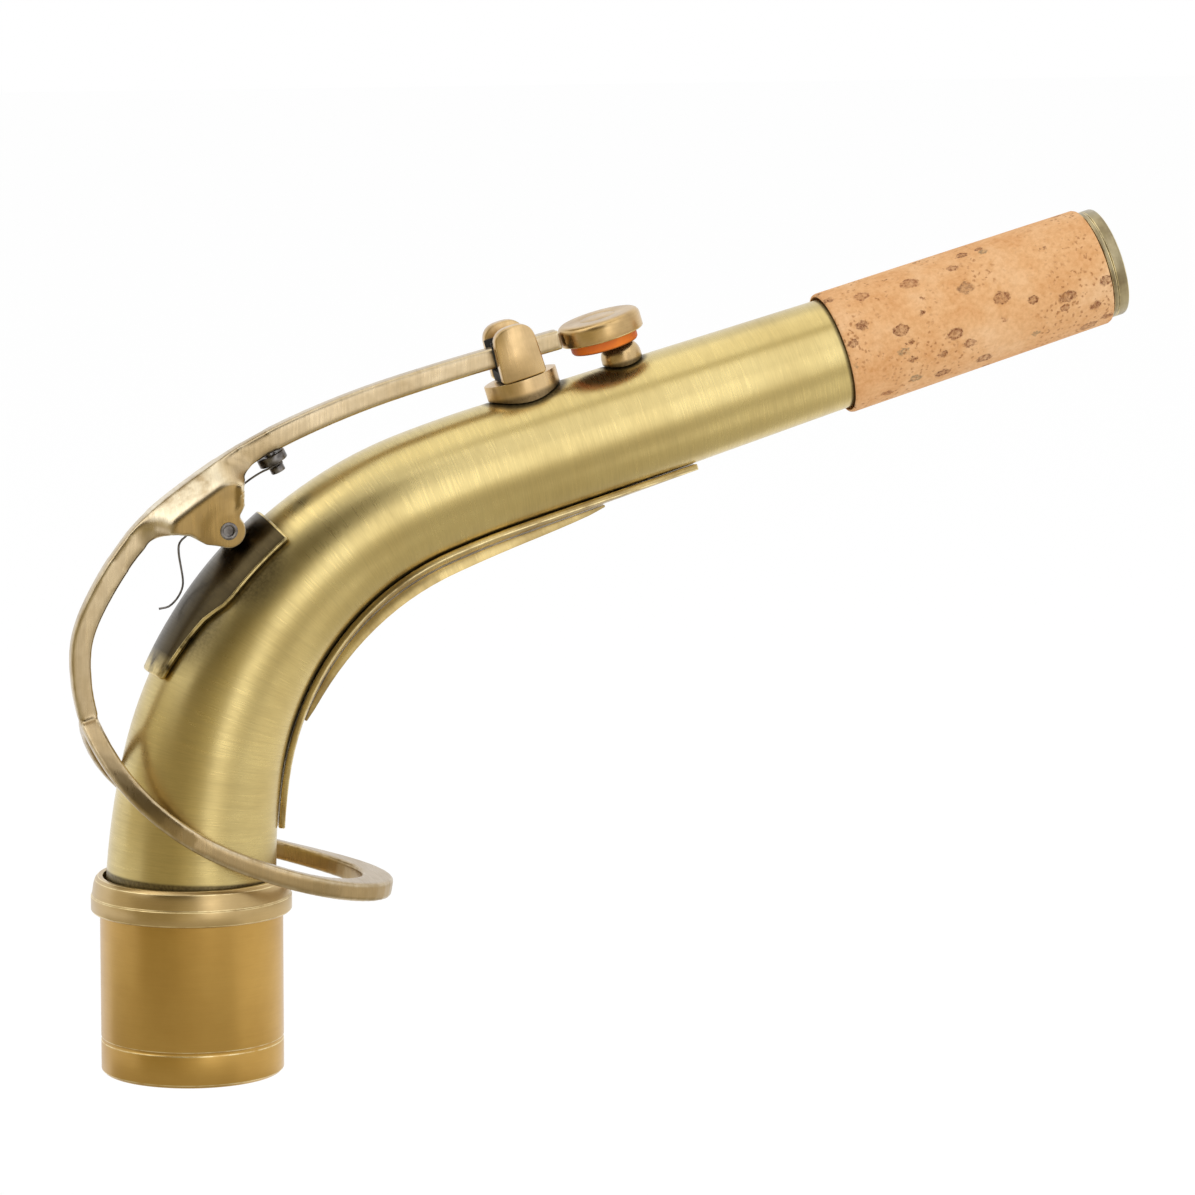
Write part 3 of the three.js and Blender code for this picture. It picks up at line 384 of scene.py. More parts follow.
lines = math_node(brush_group, "ADD", math_node(
    brush_group, "MULTIPLY", fine_lines.outputs["Fac"], 1.3), math_node(
    brush_group, "MULTIPLY", broad_lines.outputs["Fac"], 0.7))
cloud = put(brush_group, "ShaderNodeTexNoise", {
    "Vector": given["Place"], "Scale": given["Tarnish Scale"], "Detail": 5.0, "Roughness": 0.6})
patch = put(brush_group, "ShaderNodeMapRange", {
    "Value": cloud.outputs["Fac"], "From Min": 0.40, "From Max": 0.70})
stain = math_node(brush_group, "MULTIPLY", patch.outputs[0], given["Tarnish"])
stained = mixed(brush_group, stain, given["Clean Colour"], given["Tarnish Colour"])
rub = put(brush_group, "ShaderNodeTexNoise", {
    "Vector": given["Place"], "Scale": 420.0, "Detail": 3.0, "Roughness": 0.6})
rubbed = put(brush_group, "ShaderNodeMapRange", {
    "Value": rub.outputs["Fac"], "From Min": 0.3, "From Max": 0.55})
# Wear and painted highlight: this mark lightens towards the pale colour both where edges are
# worn and where a piece paints a highlight or reflection.
bare_and_sheen = math_node(brush_group, "MULTIPLY", given["Wear And Sheen"], rubbed.outputs[0])
bared_and_sheen = mixed(brush_group, bare_and_sheen, stained, given["Wear And Sheen Colour"])
# Painted shade with some grime: this input darkens the colour towards near black and roughens
# it.
crust = put(brush_group, "ShaderNodeTexNoise", {
    "Vector": given["Place"], "Scale": 2600.0, "Detail": 2.0, "Roughness": 0.6})
dirt_and_shade = math_node(brush_group, "MULTIPLY", given["Shade And Grime"], math_node(
    brush_group, "ADD", math_node(brush_group, "MULTIPLY", crust.outputs["Fac"], 0.5), 0.6))
dirt_and_shade.node.use_clamp = True
soiled_and_shaded = mixed(brush_group, dirt_and_shade, bared_and_sheen, (0.045, 0.03, 0.012, 1.0))
swing = math_node(brush_group, "MULTIPLY", math_node(
    brush_group, "SUBTRACT", lines, 1.0), given["Brush Contrast"])
shade = math_node(brush_group, "ADD", swing, 1.0)
grey = put(brush_group, "ShaderNodeCombineColor", {"Red": shade, "Green": shade, "Blue": shade})
brushed = mixed(brush_group, 1.0, soiled_and_shaded, grey.outputs[0], "MULTIPLY")
rough = math_node(brush_group, "SUBTRACT", given["Smoothness"], math_node(
    brush_group, "MULTIPLY", swing, 0.5))
rougher = math_node(brush_group, "ADD", rough, math_node(
    brush_group, "ADD", math_node(brush_group, "MULTIPLY", stain, 0.10),
    math_node(brush_group, "MULTIPLY", dirt_and_shade, 0.22)))
put(brush_group, "NodeGroupOutput", {
    "Colour": brushed, "Roughness": rougher, "Height": lines})


def brass(name, clean, tarnish_colour, tarnish=0.4, scale=90.0, contrast=0.12,
          rough=0.3, height=0.004, attribute="lay", wear_and_sheen=(0.85, 0.70, 0.38), lacquer=0.25):
    """A brushed brass finish under lacquer, laid by the piece's own pattern
    coordinates and rubbed bright along worn edges and painted highlights."""
    material, tree = bare_material(name)
    if attribute:
        place = put(tree, "ShaderNodeAttribute", attribute_name=attribute).outputs["Vector"]
    else:
        place = put(tree, "ShaderNodeTexCoord").outputs["Object"]
    work = tree.nodes.new("ShaderNodeGroup")
    work.node_tree = brush_group
    tree.links.new(place, work.inputs["Place"])
    edge = put(tree, "ShaderNodeAttribute", attribute_name="wear_and_sheen")
    tree.links.new(edge.outputs["Fac"], work.inputs["Wear And Sheen"])
    for socket, value in (
        ("Clean Colour", (*clean, 1.0)), ("Tarnish Colour", (*tarnish_colour, 1.0)),
        ("Wear And Sheen Colour", (*wear_and_sheen, 1.0)), ("Tarnish", tarnish), ("Tarnish Scale", scale),
        ("Brush Contrast", contrast), ("Smoothness", rough),
    ):
        work.inputs[socket].default_value = value
    bump = put(tree, "ShaderNodeBump", {
        "Height": work.outputs["Height"], "Strength": 1.0, "Distance": height * MM})
    surface = put(tree, "ShaderNodeBsdfPrincipled", {
        "Base Color": work.outputs["Colour"],
        "Roughness": work.outputs["Roughness"],
        "Metallic": 1.0,
        "Coat Weight": lacquer,
        "Coat Roughness": 0.2,
        "Normal": bump.outputs[0],
    })
    put(tree, "ShaderNodeOutputMaterial", {"Surface": surface.outputs[0]})
    return material


def finish_of(material):
    """The shader tree of a brass finish, and the brushed group in it."""
    tree = material.node_tree
    return tree, next(node for node in tree.nodes if node.type == "GROUP")


def shade_and_soil(material, spots):
    """Darkens the finish near fittings with painted shade and some grime: each spot is a
    centre on the straightened neck, its size along, across and up, its soft border and its
    depth."""
    tree, work = finish_of(material)
    place = work.inputs["Place"].links[0].from_socket
    total = None
    for centre, size, border, depth in spots:
        moved = put(tree, "ShaderNodeVectorMath", {
            0: place, 1: tuple(part * MM for part in centre)}, operation="SUBTRACT")
        shrunk = put(tree, "ShaderNodeVectorMath", {
            0: moved.outputs[0], 1: tuple(1 / (part * MM) for part in size)},
            operation="MULTIPLY")
        reach = put(tree, "ShaderNodeVectorMath", {0: shrunk.outputs[0]}, operation="LENGTH")
        near = put(tree, "ShaderNodeMapRange", {
            "Value": reach.outputs["Value"], "From Min": 1.0, "From Max": 1.0 + border,
            "To Min": depth, "To Max": 0.0}, interpolation_type="SMOOTHSTEP")
        total = near.outputs[0] if total is None else math_node(
            tree, "MAXIMUM", total, near.outputs[0])
    tree.links.new(total, work.inputs["Shade And Grime"])


NECK_CLEAN = (0.65, 0.52, 0.225)
NECK_TARNISH = (0.45, 0.33, 0.12)
neck_brass = brass("neck_brass", NECK_CLEAN, NECK_TARNISH, 0.45, 70.0, 0.26, 0.28)
# Painted shade with some grime: dark rings where the tube meets the collar and the tip ring,
# dark patches round the pip, the guide's foot and the saddle, and a dark band under the brace.
shade_and_soil(neck_brass, (
    ((4.8, 0.0, 0.0), (0.3, 60.0, 60.0), 1.3, 0.9),
    ((128.0, 0.0, 0.0), (0.2, 60.0, 60.0), 1.8, 0.7),
    ((99.72, 0.0, 8.1), (2.85, 2.85, 1.6), 0.3, 0.95),
    ((85.6, 0.0, 8.0), (5.4, 4.3, 3.0), 0.2, 0.95),
    ((44.5, 0.0, 6.0), (5.6, 7.9, 4.2), 0.55, 0.9),
    ((36.0, 0.0, 6.0), (7.0, 6.6, 4.2), 0.45, 0.85),
    ((58.6, 0.0, -9.0), (47.0, 5.9, 3.0), 0.10, 0.9),
))

tube = bmesh.new()
first = neck_frame(0.0) @ Matrix.Diagonal((1.0, BASE_RADIUS, BASE_RADIUS, 1.0))
bmesh.ops.create_circle(
    tube, segments=TUBE_SIDES, radius=1.0, matrix=first @ Matrix.Rotation(math.pi / 2, 4, "Y"),
)
edges = list(tube.edges)
tube_end = NECK_LENGTH - TIP_LIP
steps = int(tube_end / TUBE_STEP)
last = first
route = [(tube_end * i / steps, 0.0) for i in range(1, steps + 1)]
route += [(tube_end * i / steps, WALL) for i in range(steps, -1, -1)]
for station, inset in route:
    grown = bmesh.ops.extrude_edge_only(tube, edges=edges)["geom"]
    edges = [item for item in grown if isinstance(item, bmesh.types.BMEdge)]
    radius = neck_radius(station) - inset
    here = neck_frame(station) @ Matrix.Diagonal((1.0, radius, radius, 1.0))
    bmesh.ops.transform(
        tube, matrix=here @ last.inverted(),
        verts=[item for item in grown if isinstance(item, bmesh.types.BMVert)],
    )
    last = here
rims = [e for e in tube.edges if e.is_boundary]
bmesh.ops.bridge_loops(tube, edges=rims)
soften(tube, 0.0, 40)
make_piece("tube", tube, "neck", "neck_tube", neck_brass, unbend)

# Tenon sleeve and collar
# The tenon is a turned sleeve, smoother and redder than the tube, with a fine
# line cut near its lower end. The collar above it is turned with a step.
TURNED_STEPS = 144


def turned_piece(profile, steps=TURNED_STEPS):
    """Spins a profile of (radius, height) points in millimetres about Z."""
    shaped = bmesh.new()
    points = [shaped.verts.new((radius * MM, 0.0, height * MM)) for radius, height in profile]
    hollow = profile[0][0] > 0
    rows = list(zip(points, points[1:]))
    if hollow:
        rows.append((points[-1], points[0]))
    for pair in rows:
        shaped.edges.new(pair)
    bmesh.ops.spin(
        shaped, geom=list(shaped.verts) + list(shaped.edges), cent=(0, 0, 0), axis=(0, 0, 1),
        angle=2 * math.pi, steps=steps, use_merge=True,
    )
    bmesh.ops.remove_doubles(shaped, verts=shaped.verts, dist=0.002 * MM)
    return shaped


def along_z(point):
    """Pattern coordinates of a piece turned about the tenon's axis."""
    return Vector((point.z, point.x, point.y))


tenon_brass = brass(
    "tenon_brass", (0.60, 0.37, 0.10), (0.44, 0.24, 0.05), 0.5, 45.0, 0.08, 0.33, 0.0015)
tenon = turned_piece([
    (11.2, 0.0), (11.85, 0.0), (12.25, 0.4), (12.25, 4.35), (12.12, 4.5), (12.12, 4.72),
    (12.25, 4.87), (12.25, 21.9), (11.2, 21.9),
])
soften(tenon, 0.08 * MM, 20)
make_piece("tenon", tenon, "neck", "tenon_sleeve", tenon_brass, along_z)

collar_brass = brass(
    "collar_brass", (0.58, 0.42, 0.20), (0.40, 0.26, 0.09), 0.5, 60.0, 0.12, 0.3, 0.002)
collar = turned_piece([
    (11.85, 21.92), (13.25, 21.92), (13.45, 22.12), (13.45, 24.0), (13.36, 24.08),
    (13.36, 24.18), (13.3, 24.26), (13.12, 25.5), (12.9, 26.25), (12.5, 26.68), (11.85, 26.68),
])
soften(collar, 0.07 * MM, 20)
make_piece("collar", collar, "neck", "tenon_collar", collar_brass, along_z)

# Tip ring and cork
# A rolled brass ring finishes the tube's end. The cork is a sheet wrapped round
# the tube, glued, and sanded to a slight taper: fine pores and dark flecks.
tip_frame = neck_frame(NECK_LENGTH) @ Matrix.Rotation(math.pi / 2, 4, "Y")


def along_tip(point):
    """Pattern coordinates of a piece turned about the tip's axis."""
    local = tip_frame.inverted() @ point
    return Vector((local.z, local.x, local.y))


tip = turned_piece([
    (6.0, -0.78), (6.0, -0.1), (6.1, 0.0), (7.15, 0.0), (7.45, -0.14), (7.55, -0.4),
    (7.55, -1.55), (7.48, -1.65), (7.55, -1.75), (7.55, -2.3), (7.05, -2.3), (7.05, -0.78),
])
soften(tip, 0.06 * MM, 25)
bmesh.ops.transform(tip, matrix=tip_frame, verts=tip.verts)
tip_brass = brass(
    "tip_brass", (0.38, 0.32, 0.19), (0.20, 0.15, 0.08), 0.9, 260.0, 0.28, 0.32, 0.004)
make_piece("tip_rim", tip, "neck", "tip_ring", tip_brass, along_tip)

cork_skin, tree = bare_material("sheet_cork")
place = put(tree, "ShaderNodeAttribute", attribute_name="lay").outputs["Vector"]
warp = put(tree, "ShaderNodeTexNoise", {
    "Vector": place, "Scale": 1100.0, "Detail": 4.0, "Roughness": 0.7})
shift = put(tree, "ShaderNodeVectorMath", {
    0: warp.outputs["Color"], 1: (0.0012, 0.0012, 0.0012)}, operation="MULTIPLY")
swayed = put(tree, "ShaderNodeVectorMath", {
    0: place, 1: shift.outputs[0]}, operation="ADD").outputs[0]
grain = put(tree, "ShaderNodeTexNoise", {
    "Vector": place, "Scale": 1500.0, "Detail": 5.0, "Roughness": 0.7})
clouds = put(tree, "ShaderNodeTexNoise", {
    "Vector": place, "Scale": 130.0, "Detail": 4.0, "Roughness": 0.6})
flesh = ramp(tree, clouds.outputs["Fac"], [
    (0.32, (0.67, 0.31, 0.10)), (0.5, (0.76, 0.41, 0.17)),
    (0.68, (0.83, 0.51, 0.26))], "LINEAR")
grained = mixed(tree, 0.22, flesh, ramp(tree, grain.outputs["Fac"], [
    (0.35, (0.45, 0.2, 0.07)), (0.6, (0.9, 0.58, 0.33))], "LINEAR"))
# Lenticels: large oval pores, each with a brown rim, scattered in loose rows.
oval = put(tree, "ShaderNodeMapping", {"Vector": swayed, "Scale": (0.8, 1.15, 1.15)})
pore = put(tree, "ShaderNodeTexVoronoi", {
    "Vector": oval.outputs[0], "Scale": 330.0, "Randomness": 0.85})
pick = put(tree, "ShaderNodeSeparateColor", {"Color": pore.outputs["Color"]})
chosen = math_node(tree, "GREATER_THAN", pick.outputs["Red"], 0.18)
width = put(tree, "ShaderNodeMapRange", {
    "Value": pick.outputs["Green"], "To Min": 0.12, "To Max": 0.38})
inner = math_node(tree, "DIVIDE", pore.outputs["Distance"], width.outputs[0])
body = put(tree, "ShaderNodeMapRange", {
    "Value": inner, "From Min": 0.85, "From Max": 1.10, "To Min": 1.0, "To Max": 0.0})
core = put(tree, "ShaderNodeMapRange", {
    "Value": inner, "From Min": 0.50, "From Max": 0.85, "To Min": 0.55, "To Max": 1.0})
crumb = put(tree, "ShaderNodeTexNoise", {
    "Vector": place, "Scale": 2600.0, "Detail": 3.0, "Roughness": 0.7})
crumbs = put(tree, "ShaderNodeMapRange", {
    "Value": crumb.outputs["Fac"], "From Min": 0.42, "From Max": 0.60, "To Max": 0.75})
filled = math_node(tree, "MULTIPLY", core.outputs[0], math_node(
    tree, "ADD", crumbs.outputs[0], 0.42))
spot = math_node(tree, "MULTIPLY", math_node(tree, "MULTIPLY", body.outputs[0], chosen), filled)
spot_colour = ramp(tree, pick.outputs["Blue"], [
    (0.2, (0.20, 0.065, 0.022)), (0.6, (0.34, 0.12, 0.04)),
    (0.9, (0.30, 0.21, 0.11))], "LINEAR")
# Pits: small dark pin pricks that come in drifts along the sheet.
pits = put(tree, "ShaderNodeTexVoronoi", {"Vector": swayed, "Scale": 1300.0, "Randomness": 1.0})
drift = put(tree, "ShaderNodeTexNoise", {"Vector": place, "Scale": 95.0, "Detail": 2.0})
drifting = put(tree, "ShaderNodeMapRange", {
    "Value": drift.outputs["Fac"], "From Min": 0.44, "From Max": 0.58})
pit = math_node(tree, "MULTIPLY", put(tree, "ShaderNodeMapRange", {
    "Value": pits.outputs["Distance"], "From Min": 0.16, "From Max": 0.34,
    "To Min": 1.0, "To Max": 0.0}).outputs[0], drifting.outputs[0])
spotted = mixed(tree, math_node(tree, "MULTIPLY", spot, 0.95), grained, spot_colour)
pitted = mixed(tree, math_node(tree, "MULTIPLY", pit, 0.75), spotted, (0.36, 0.14, 0.04, 1.0))
relief = math_node(tree, "SUBTRACT", math_node(tree, "MULTIPLY", grain.outputs["Fac"], 0.35),
                   math_node(tree, "ADD", spot, math_node(tree, "MULTIPLY", pit, 0.6)))
cork_bump = put(tree, "ShaderNodeBump", {
    "Height": relief, "Strength": 0.6, "Distance": 0.1 * MM})
cork_surface = put(tree, "ShaderNodeBsdfPrincipled", {
    "Base Color": pitted, "Roughness": 0.8, "Normal": cork_bump.outputs[0],
    "Specular IOR Level": 0.25})
put(tree, "ShaderNodeOutputMaterial", {"Surface": cork_surface.outputs[0]})

cork = turned_piece([
    (7.12, -2.5), (7.75, -2.5), (8.0, -2.62), (8.1, -2.85), (8.18, -10.0), (8.27, -20.0),
    (8.36, -30.0), (8.44, -40.6), (8.36, -40.88), (8.1, -41.0), (8.05, -41.0),
])
soften(cork, 0.0, 50)
bmesh.ops.transform(cork, matrix=tip_frame, verts=cork.verts)
make_piece("cork", cork, "neck", "mouthpiece_cork", cork_skin, along_tip)

# Brace on the bend
# A wide strip and a narrower rib, cut from sheet, formed to the tube and
# soldered under the bend, one on the other.


def cad_copy(node):
    """A merged copy of a CAD node's mesh, with its flat faces joined up."""
    shaped = bmesh.new()
    shaped.from_mesh(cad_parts[node].data)
    bmesh.ops.remove_doubles(shaped, verts=shaped.verts, dist=0.001 * MM)
    bmesh.ops.dissolve_limit(
        shaped, angle_limit=math.radians(0.4), verts=shaped.verts, edges=shaped.edges,
    )
    return shaped


def dress(name, node, body, material, width, angle=32, lay=None, segments=2):
    """A copy of a CAD node with its edges broken and its own finish."""
    shaped = cad_copy(node)
    soften(shaped, width * MM, angle, segments)
    return make_piece(name, shaped, body, node, material, lay)


brace_brass = brass(
    "brace_brass", (0.60, 0.46, 0.20), (0.26, 0.17, 0.06), 0.8, 110.0, 0.2, 0.28)
dress("brace", "brace_strip", "neck", brace_brass, 0.16, 45, unbend)
dress("rib", "brace_rib", "neck", brace_brass, 0.16, 45, unbend)

# Saddle, hinge post
# The plate under the hinge is brass that has gone dark, worn bright along its
# edges, and painted bright at its lower end as a reflection. The post stands on it,
# between the two ears of the key.
LOW_END_SHEEN = (29.6 * MM, 31.6 * MM)
saddle_brass = brass(
    "saddle_brass", (0.075, 0.055, 0.024), (0.035, 0.025, 0.012), 0.9, 120.0, 0.25, 0.3,
    wear_and_sheen=(0.75, 0.6, 0.28), lacquer=0.12)
tree, work = finish_of(saddle_brass)
station = put(tree, "ShaderNodeSeparateXYZ", {
    "Vector": work.inputs["Place"].links[0].from_socket}).outputs["X"]
# Painted reflection: the saddle's lower end takes the bright worn colour.
low_end_sheen = put(tree, "ShaderNodeMapRange", {
    "Value": station, "From Min": LOW_END_SHEEN[0], "From Max": LOW_END_SHEEN[1],
    "To Min": 0.9, "To Max": 0.0})
edges_worn = work.inputs["Wear And Sheen"].links[0].from_socket
tree.links.new(math_node(tree, "MAXIMUM", edges_worn, low_end_sheen.outputs[0]), work.inputs["Wear And Sheen"])
dress("saddle", "key_saddle", "neck", saddle_brass, 0.32, 45, unbend, 3)
dress("post", "hinge_post", "neck", saddle_brass, 0.12, 40, unbend)

# Octave vent
# A domed pip with a fine bore, turned from rod and soldered in the tube.
vent_brass = brass(
    "vent_brass", (0.60, 0.42, 0.20), (0.26, 0.17, 0.08), 0.6, 300.0, 0.15, 0.26)
# Painted shade with some grime: the pip darkens round its foot.
shade_and_soil(vent_brass, (((99.72, 0.0, 7.7), (3.2, 3.2, 1.1), 0.3, 0.9),))
dress("vent", "octave_vent", "neck", vent_brass, 0.08, 40, unbend)

# Fork guide
# A boat-shaped foot with two blades that keep the key's arm in line. A black
# lining between them quietens the arm.
GUIDE_STATION = 85.57 * MM
BLADE_EDGE = 0.5 * MM
BLADE_CUTS = 9
BLADE_CUT_STEP = 0.32 * MM
# The blades' crown, in millimetres.
BLADE_HALF_WIDTH = 3.1
BLADE_FACE = 3.1
BLADE_CROWN = 0.4
# The liner is drawn a little smaller about its seat, inside the blades.
LINER_SEAT = 10.9 * MM
LINER_SHRINK = (0.88, 1.0, 0.93)
guide_brass = brass(
    "guide_brass", (0.72, 0.51, 0.26), (0.40, 0.26, 0.11), 0.55, 200.0, 0.2, 0.28)
# Painted shade with some grime: the blades and the foot darken where they meet.
shade_and_soil(guide_brass, (((85.6, 0.0, 7.4), (5.6, 4.4, 1.9), 0.25, 0.8),))
dress("guide_foot", "guide_base", "neck", guide_brass, 0.25, 40, unbend, 3)
for name, node, outward in (
    ("near_blade", "guide_prong_near", -1.0), ("far_blade", "guide_prong_far", 1.0),
):
    blade = cad_copy(node)
    soften(blade, BLADE_EDGE, 50, 5)
    blade_frame = neck_frame(GUIDE_STATION)
    for cut in range(-BLADE_CUTS, BLADE_CUTS + 1):
        bmesh.ops.bisect_plane(
            blade, geom=list(blade.verts) + list(blade.edges) + list(blade.faces),
            plane_co=blade_frame @ Vector((cut * BLADE_CUT_STEP, 0.0, 0.0)),
            plane_no=blade_frame.to_3x3() @ Vector((1.0, 0.0, 0.0)),
        )
    for vertex in blade.verts:
        local = blade_frame.inverted() @ vertex.co / MM
        if local.y * outward > BLADE_FACE:
            crown = BLADE_CROWN * (1 - min(1.0, abs(local.x) / BLADE_HALF_WIDTH) ** 2)
            vertex.co.y += outward * crown * MM
    soften(blade, 0.0, 50)
    make_piece(name, blade, "neck", node, guide_brass, unbend)

lining, tree = bare_material("black_lining")
place = put(tree, "ShaderNodeTexCoord").outputs["Object"]
nap = put(tree, "ShaderNodeTexNoise", {"Vector": place, "Scale": 2500.0, "Detail": 3.0})
nap_bump = put(tree, "ShaderNodeBump", {
    "Height": nap.outputs["Fac"], "Strength": 0.5, "Distance": 0.04 * MM})
lining_surface = put(tree, "ShaderNodeBsdfPrincipled", {
    "Base Color": ramp(tree, nap.outputs["Fac"], [
        (0.3, (0.008, 0.008, 0.008)), (0.7, (0.03, 0.028, 0.026))], "LINEAR"),
    "Roughness": 0.75, "Normal": nap_bump.outputs[0]})
put(tree, "ShaderNodeOutputMaterial", {"Surface": lining_surface.outputs[0]})
liner = cad_copy("guide_liner")
liner_frame = neck_frame(GUIDE_STATION) @ Matrix.Translation((0.0, 0.0, LINER_SEAT))
bmesh.ops.scale(
    liner, vec=LINER_SHRINK, space=liner_frame.inverted(), verts=liner.verts,
)
soften(liner, 0.08 * MM, 40)
make_piece("liner", liner, "neck", "guide_liner", lining)

# Pad and pad cup
# A shallow turned cup holds the pad with shellac. The pad's orange skin is
# drawn smooth over felt and shows below the cup's rim.
PAD_STATION = sum(run for run, _ in NECK_RUNS[:4]) + 18.6 * MM
VENT_HEIGHT = 2.62 * MM
PAD_CLEARANCE = 0.08 * MM
PAD_STAND_OUT = 1.5 * MM
CUP_BOTTOM = VENT_HEIGHT + PAD_CLEARANCE + PAD_STAND_OUT
PAD_FACE = -1.47 * MM
PAD_ROUND_TOP = -1.20 * MM
PAD_STEPS = 96
cup_frame = neck_frame(PAD_STATION) @ Matrix.Translation(
    (0.0, 0.0, neck_radius(PAD_STATION) + CUP_BOTTOM))


def along_cup(point):
    """Pattern coordinates of a piece turned about the cup's axis."""
    local = cup_frame.inverted() @ point
    return Vector((local.z, local.x, local.y))


cup_brass = brass("cup_brass", (0.64, 0.44, 0.20), (0.28, 0.17, 0.07), 0.6, 160.0, 0.2, 0.3)
cup = turned_piece([
    (0.0, 1.3), (4.8, 1.3), (4.8, 0.0), (5.6, 0.0), (5.7, 0.12), (5.7, 1.8), (5.63, 2.14),
    (5.44, 2.44), (5.14, 2.63), (4.8, 2.7), (2.6, 2.7), (2.45, 2.64), (2.3, 2.7), (0.0, 2.7),
], PAD_STEPS)
soften(cup, 0.05 * MM, 30)
bmesh.ops.transform(cup, matrix=cup_frame, verts=cup.verts)
make_piece("cup", cup, "octave_key", "pad_cup", cup_brass, along_cup)

pad_skin, tree = bare_material("orange_pad_skin")
place = put(tree, "ShaderNodeAttribute", attribute_name="lay").outputs["Vector"]
pores = put(tree, "ShaderNodeTexNoise", {"Vector": place, "Scale": 1400.0, "Detail": 4.0})
tone = put(tree, "ShaderNodeTexNoise", {"Vector": place, "Scale": 260.0, "Detail": 3.0})
pad_bump = put(tree, "ShaderNodeBump", {
    "Height": pores.outputs["Fac"], "Strength": 0.5, "Distance": 0.03 * MM})
skin_colour = ramp(tree, tone.outputs["Fac"], [
    (0.3, (0.62, 0.12, 0.006)), (0.7, (0.86, 0.21, 0.010))], "LINEAR")
# Painted shade: the pad's face towards the tube darkens to near black.
depth = put(tree, "ShaderNodeSeparateXYZ", {"Vector": place}).outputs["X"]
shaded_underside = put(tree, "ShaderNodeMapRange", {
    "Value": depth, "From Min": PAD_FACE, "From Max": PAD_ROUND_TOP,
    "To Min": 0.95, "To Max": 0.0})
pad_surface = put(tree, "ShaderNodeBsdfPrincipled", {
    "Base Color": mixed(tree, shaded_underside.outputs[0], skin_colour, (0.05, 0.03, 0.014, 1.0)),
    "Roughness": 0.55, "Specular IOR Level": 0.3, "Normal": pad_bump.outputs[0]})
put(tree, "ShaderNodeOutputMaterial", {"Surface": pad_surface.outputs[0]})
pad = turned_piece([
    (0.0, -1.42), (1.3, -1.45), (1.6, -1.5), (4.1, -1.5), (4.4, -1.42), (4.57, -1.2),
    (4.6, -0.9), (4.6, 1.1), (0.0, 1.1),
], PAD_STEPS)
soften(pad, 0.0, 50)
bmesh.ops.transform(pad, matrix=cup_frame, verts=pad.verts)
pad_piece = make_piece(
    "pad", pad, "octave_key", "octave_pad", pad_skin, along_cup)

# Octave key
# One casting: an arm to the cup, a yoke over the hinge and a tail down to the
# ring, filed flat with broken edges and lightly brushed. Its side plate is painted
# in shade, its top is painted pale as a highlight, and it darkens towards the ring.
CASTING_VOXEL = 0.2 * MM
CASTING_SKIN = 0.135 * MM
CASTING_ROUNDS = 5
JOIN_REACH = 4.4 * MM
JOIN_TOUCH = 0.8 * MM
JOIN_ROUNDS = 24
FILED_ROUNDS = 3
EAR_ROUNDS = 6
# The filed yoke, in millimetres from the hinge: half widths, slope and lip.
RIDGE_HALF = 1.35
RIDGE_SLOPE = 1.5
EAR_HALF = 4.9
BOSS_HALF = 5.1
BOSS_FLAT = 2.0
BOSS_EDGE = 4.4
LIP_RISE = 0.25
# How far along the key the file and the smoothing reach, then where each effect
# starts and ends, in millimetres from the hinge, or from the edge for LIP_WIDTH.
YOKE_REACH = (-11, 12)
YOKE_FOOT = -3
TAIL_FLARE = (-8.5, -3.5)
ARM_FLARE = (3.8, 8.6)
LIP_WIDTH = (0.5, 1.2)
LIP_START = (0.5, 2.5)
TAIL_FADE = (-10.5, -8.0)
ARM_FADE = (9.0, 11.0)
EAR_REACH = 9
EAR_FOOT = 2
# Colours, how far the key darkens towards the ring, how far the ridges are rubbed bright, and
# how pale the yoke's top is painted as a highlight.
KEY_CLEAN = (0.60, 0.48, 0.31)
KEY_DARKENED = (0.30, 0.19, 0.06)
RING_DARKENING = 0.62
TOP_SHEEN = 0.65
CREST_GAIN = 14
CREST_START = 0.35
# Where the darkening, the painted shade on the side plate and the painted highlight on
# the top fade, in millimetres from the hinge or, for the ring, up from the tenon's end,
# and by how far a face looks up, from 0 to 1.
PLATE_MIDDLE = 2.0
PLATE_EDGE = (5.0, 9.0)
PLATE_FACING = (0.2, 0.6)
RING_DARKENING_FADE = (34.0, 58.0)
TOP_FROM = (-9.0, -4.0)
TOP_TO = (4.5, 8.5)
TOP_RISE = (1.5, 3.0)
TOP_FACING = (0.5, 0.8)
key_brass = brass(
    "key_brass", KEY_CLEAN, (0.36, 0.25, 0.11), 0.6, 150.0, 0.26, 0.28, 0.004, None,
    (0.95, 0.86, 0.66))
tree, work = finish_of(key_brass)
darkening = put(tree, "ShaderNodeAttribute", attribute_name="darkening").outputs["Fac"]
tree.links.new(
    mixed(tree, darkening, (*KEY_CLEAN, 1.0), (*KEY_DARKENED, 1.0)),
    work.inputs["Clean Colour"])


def smooth(shaped, verts, rounds):
    """Smooths points towards their neighbours, round after round."""
    for turn in range(rounds):
        bmesh.ops.smooth_vert(
            shaped, verts=verts, factor=0.5, use_axis_x=True, use_axis_y=True, use_axis_z=True,
        )


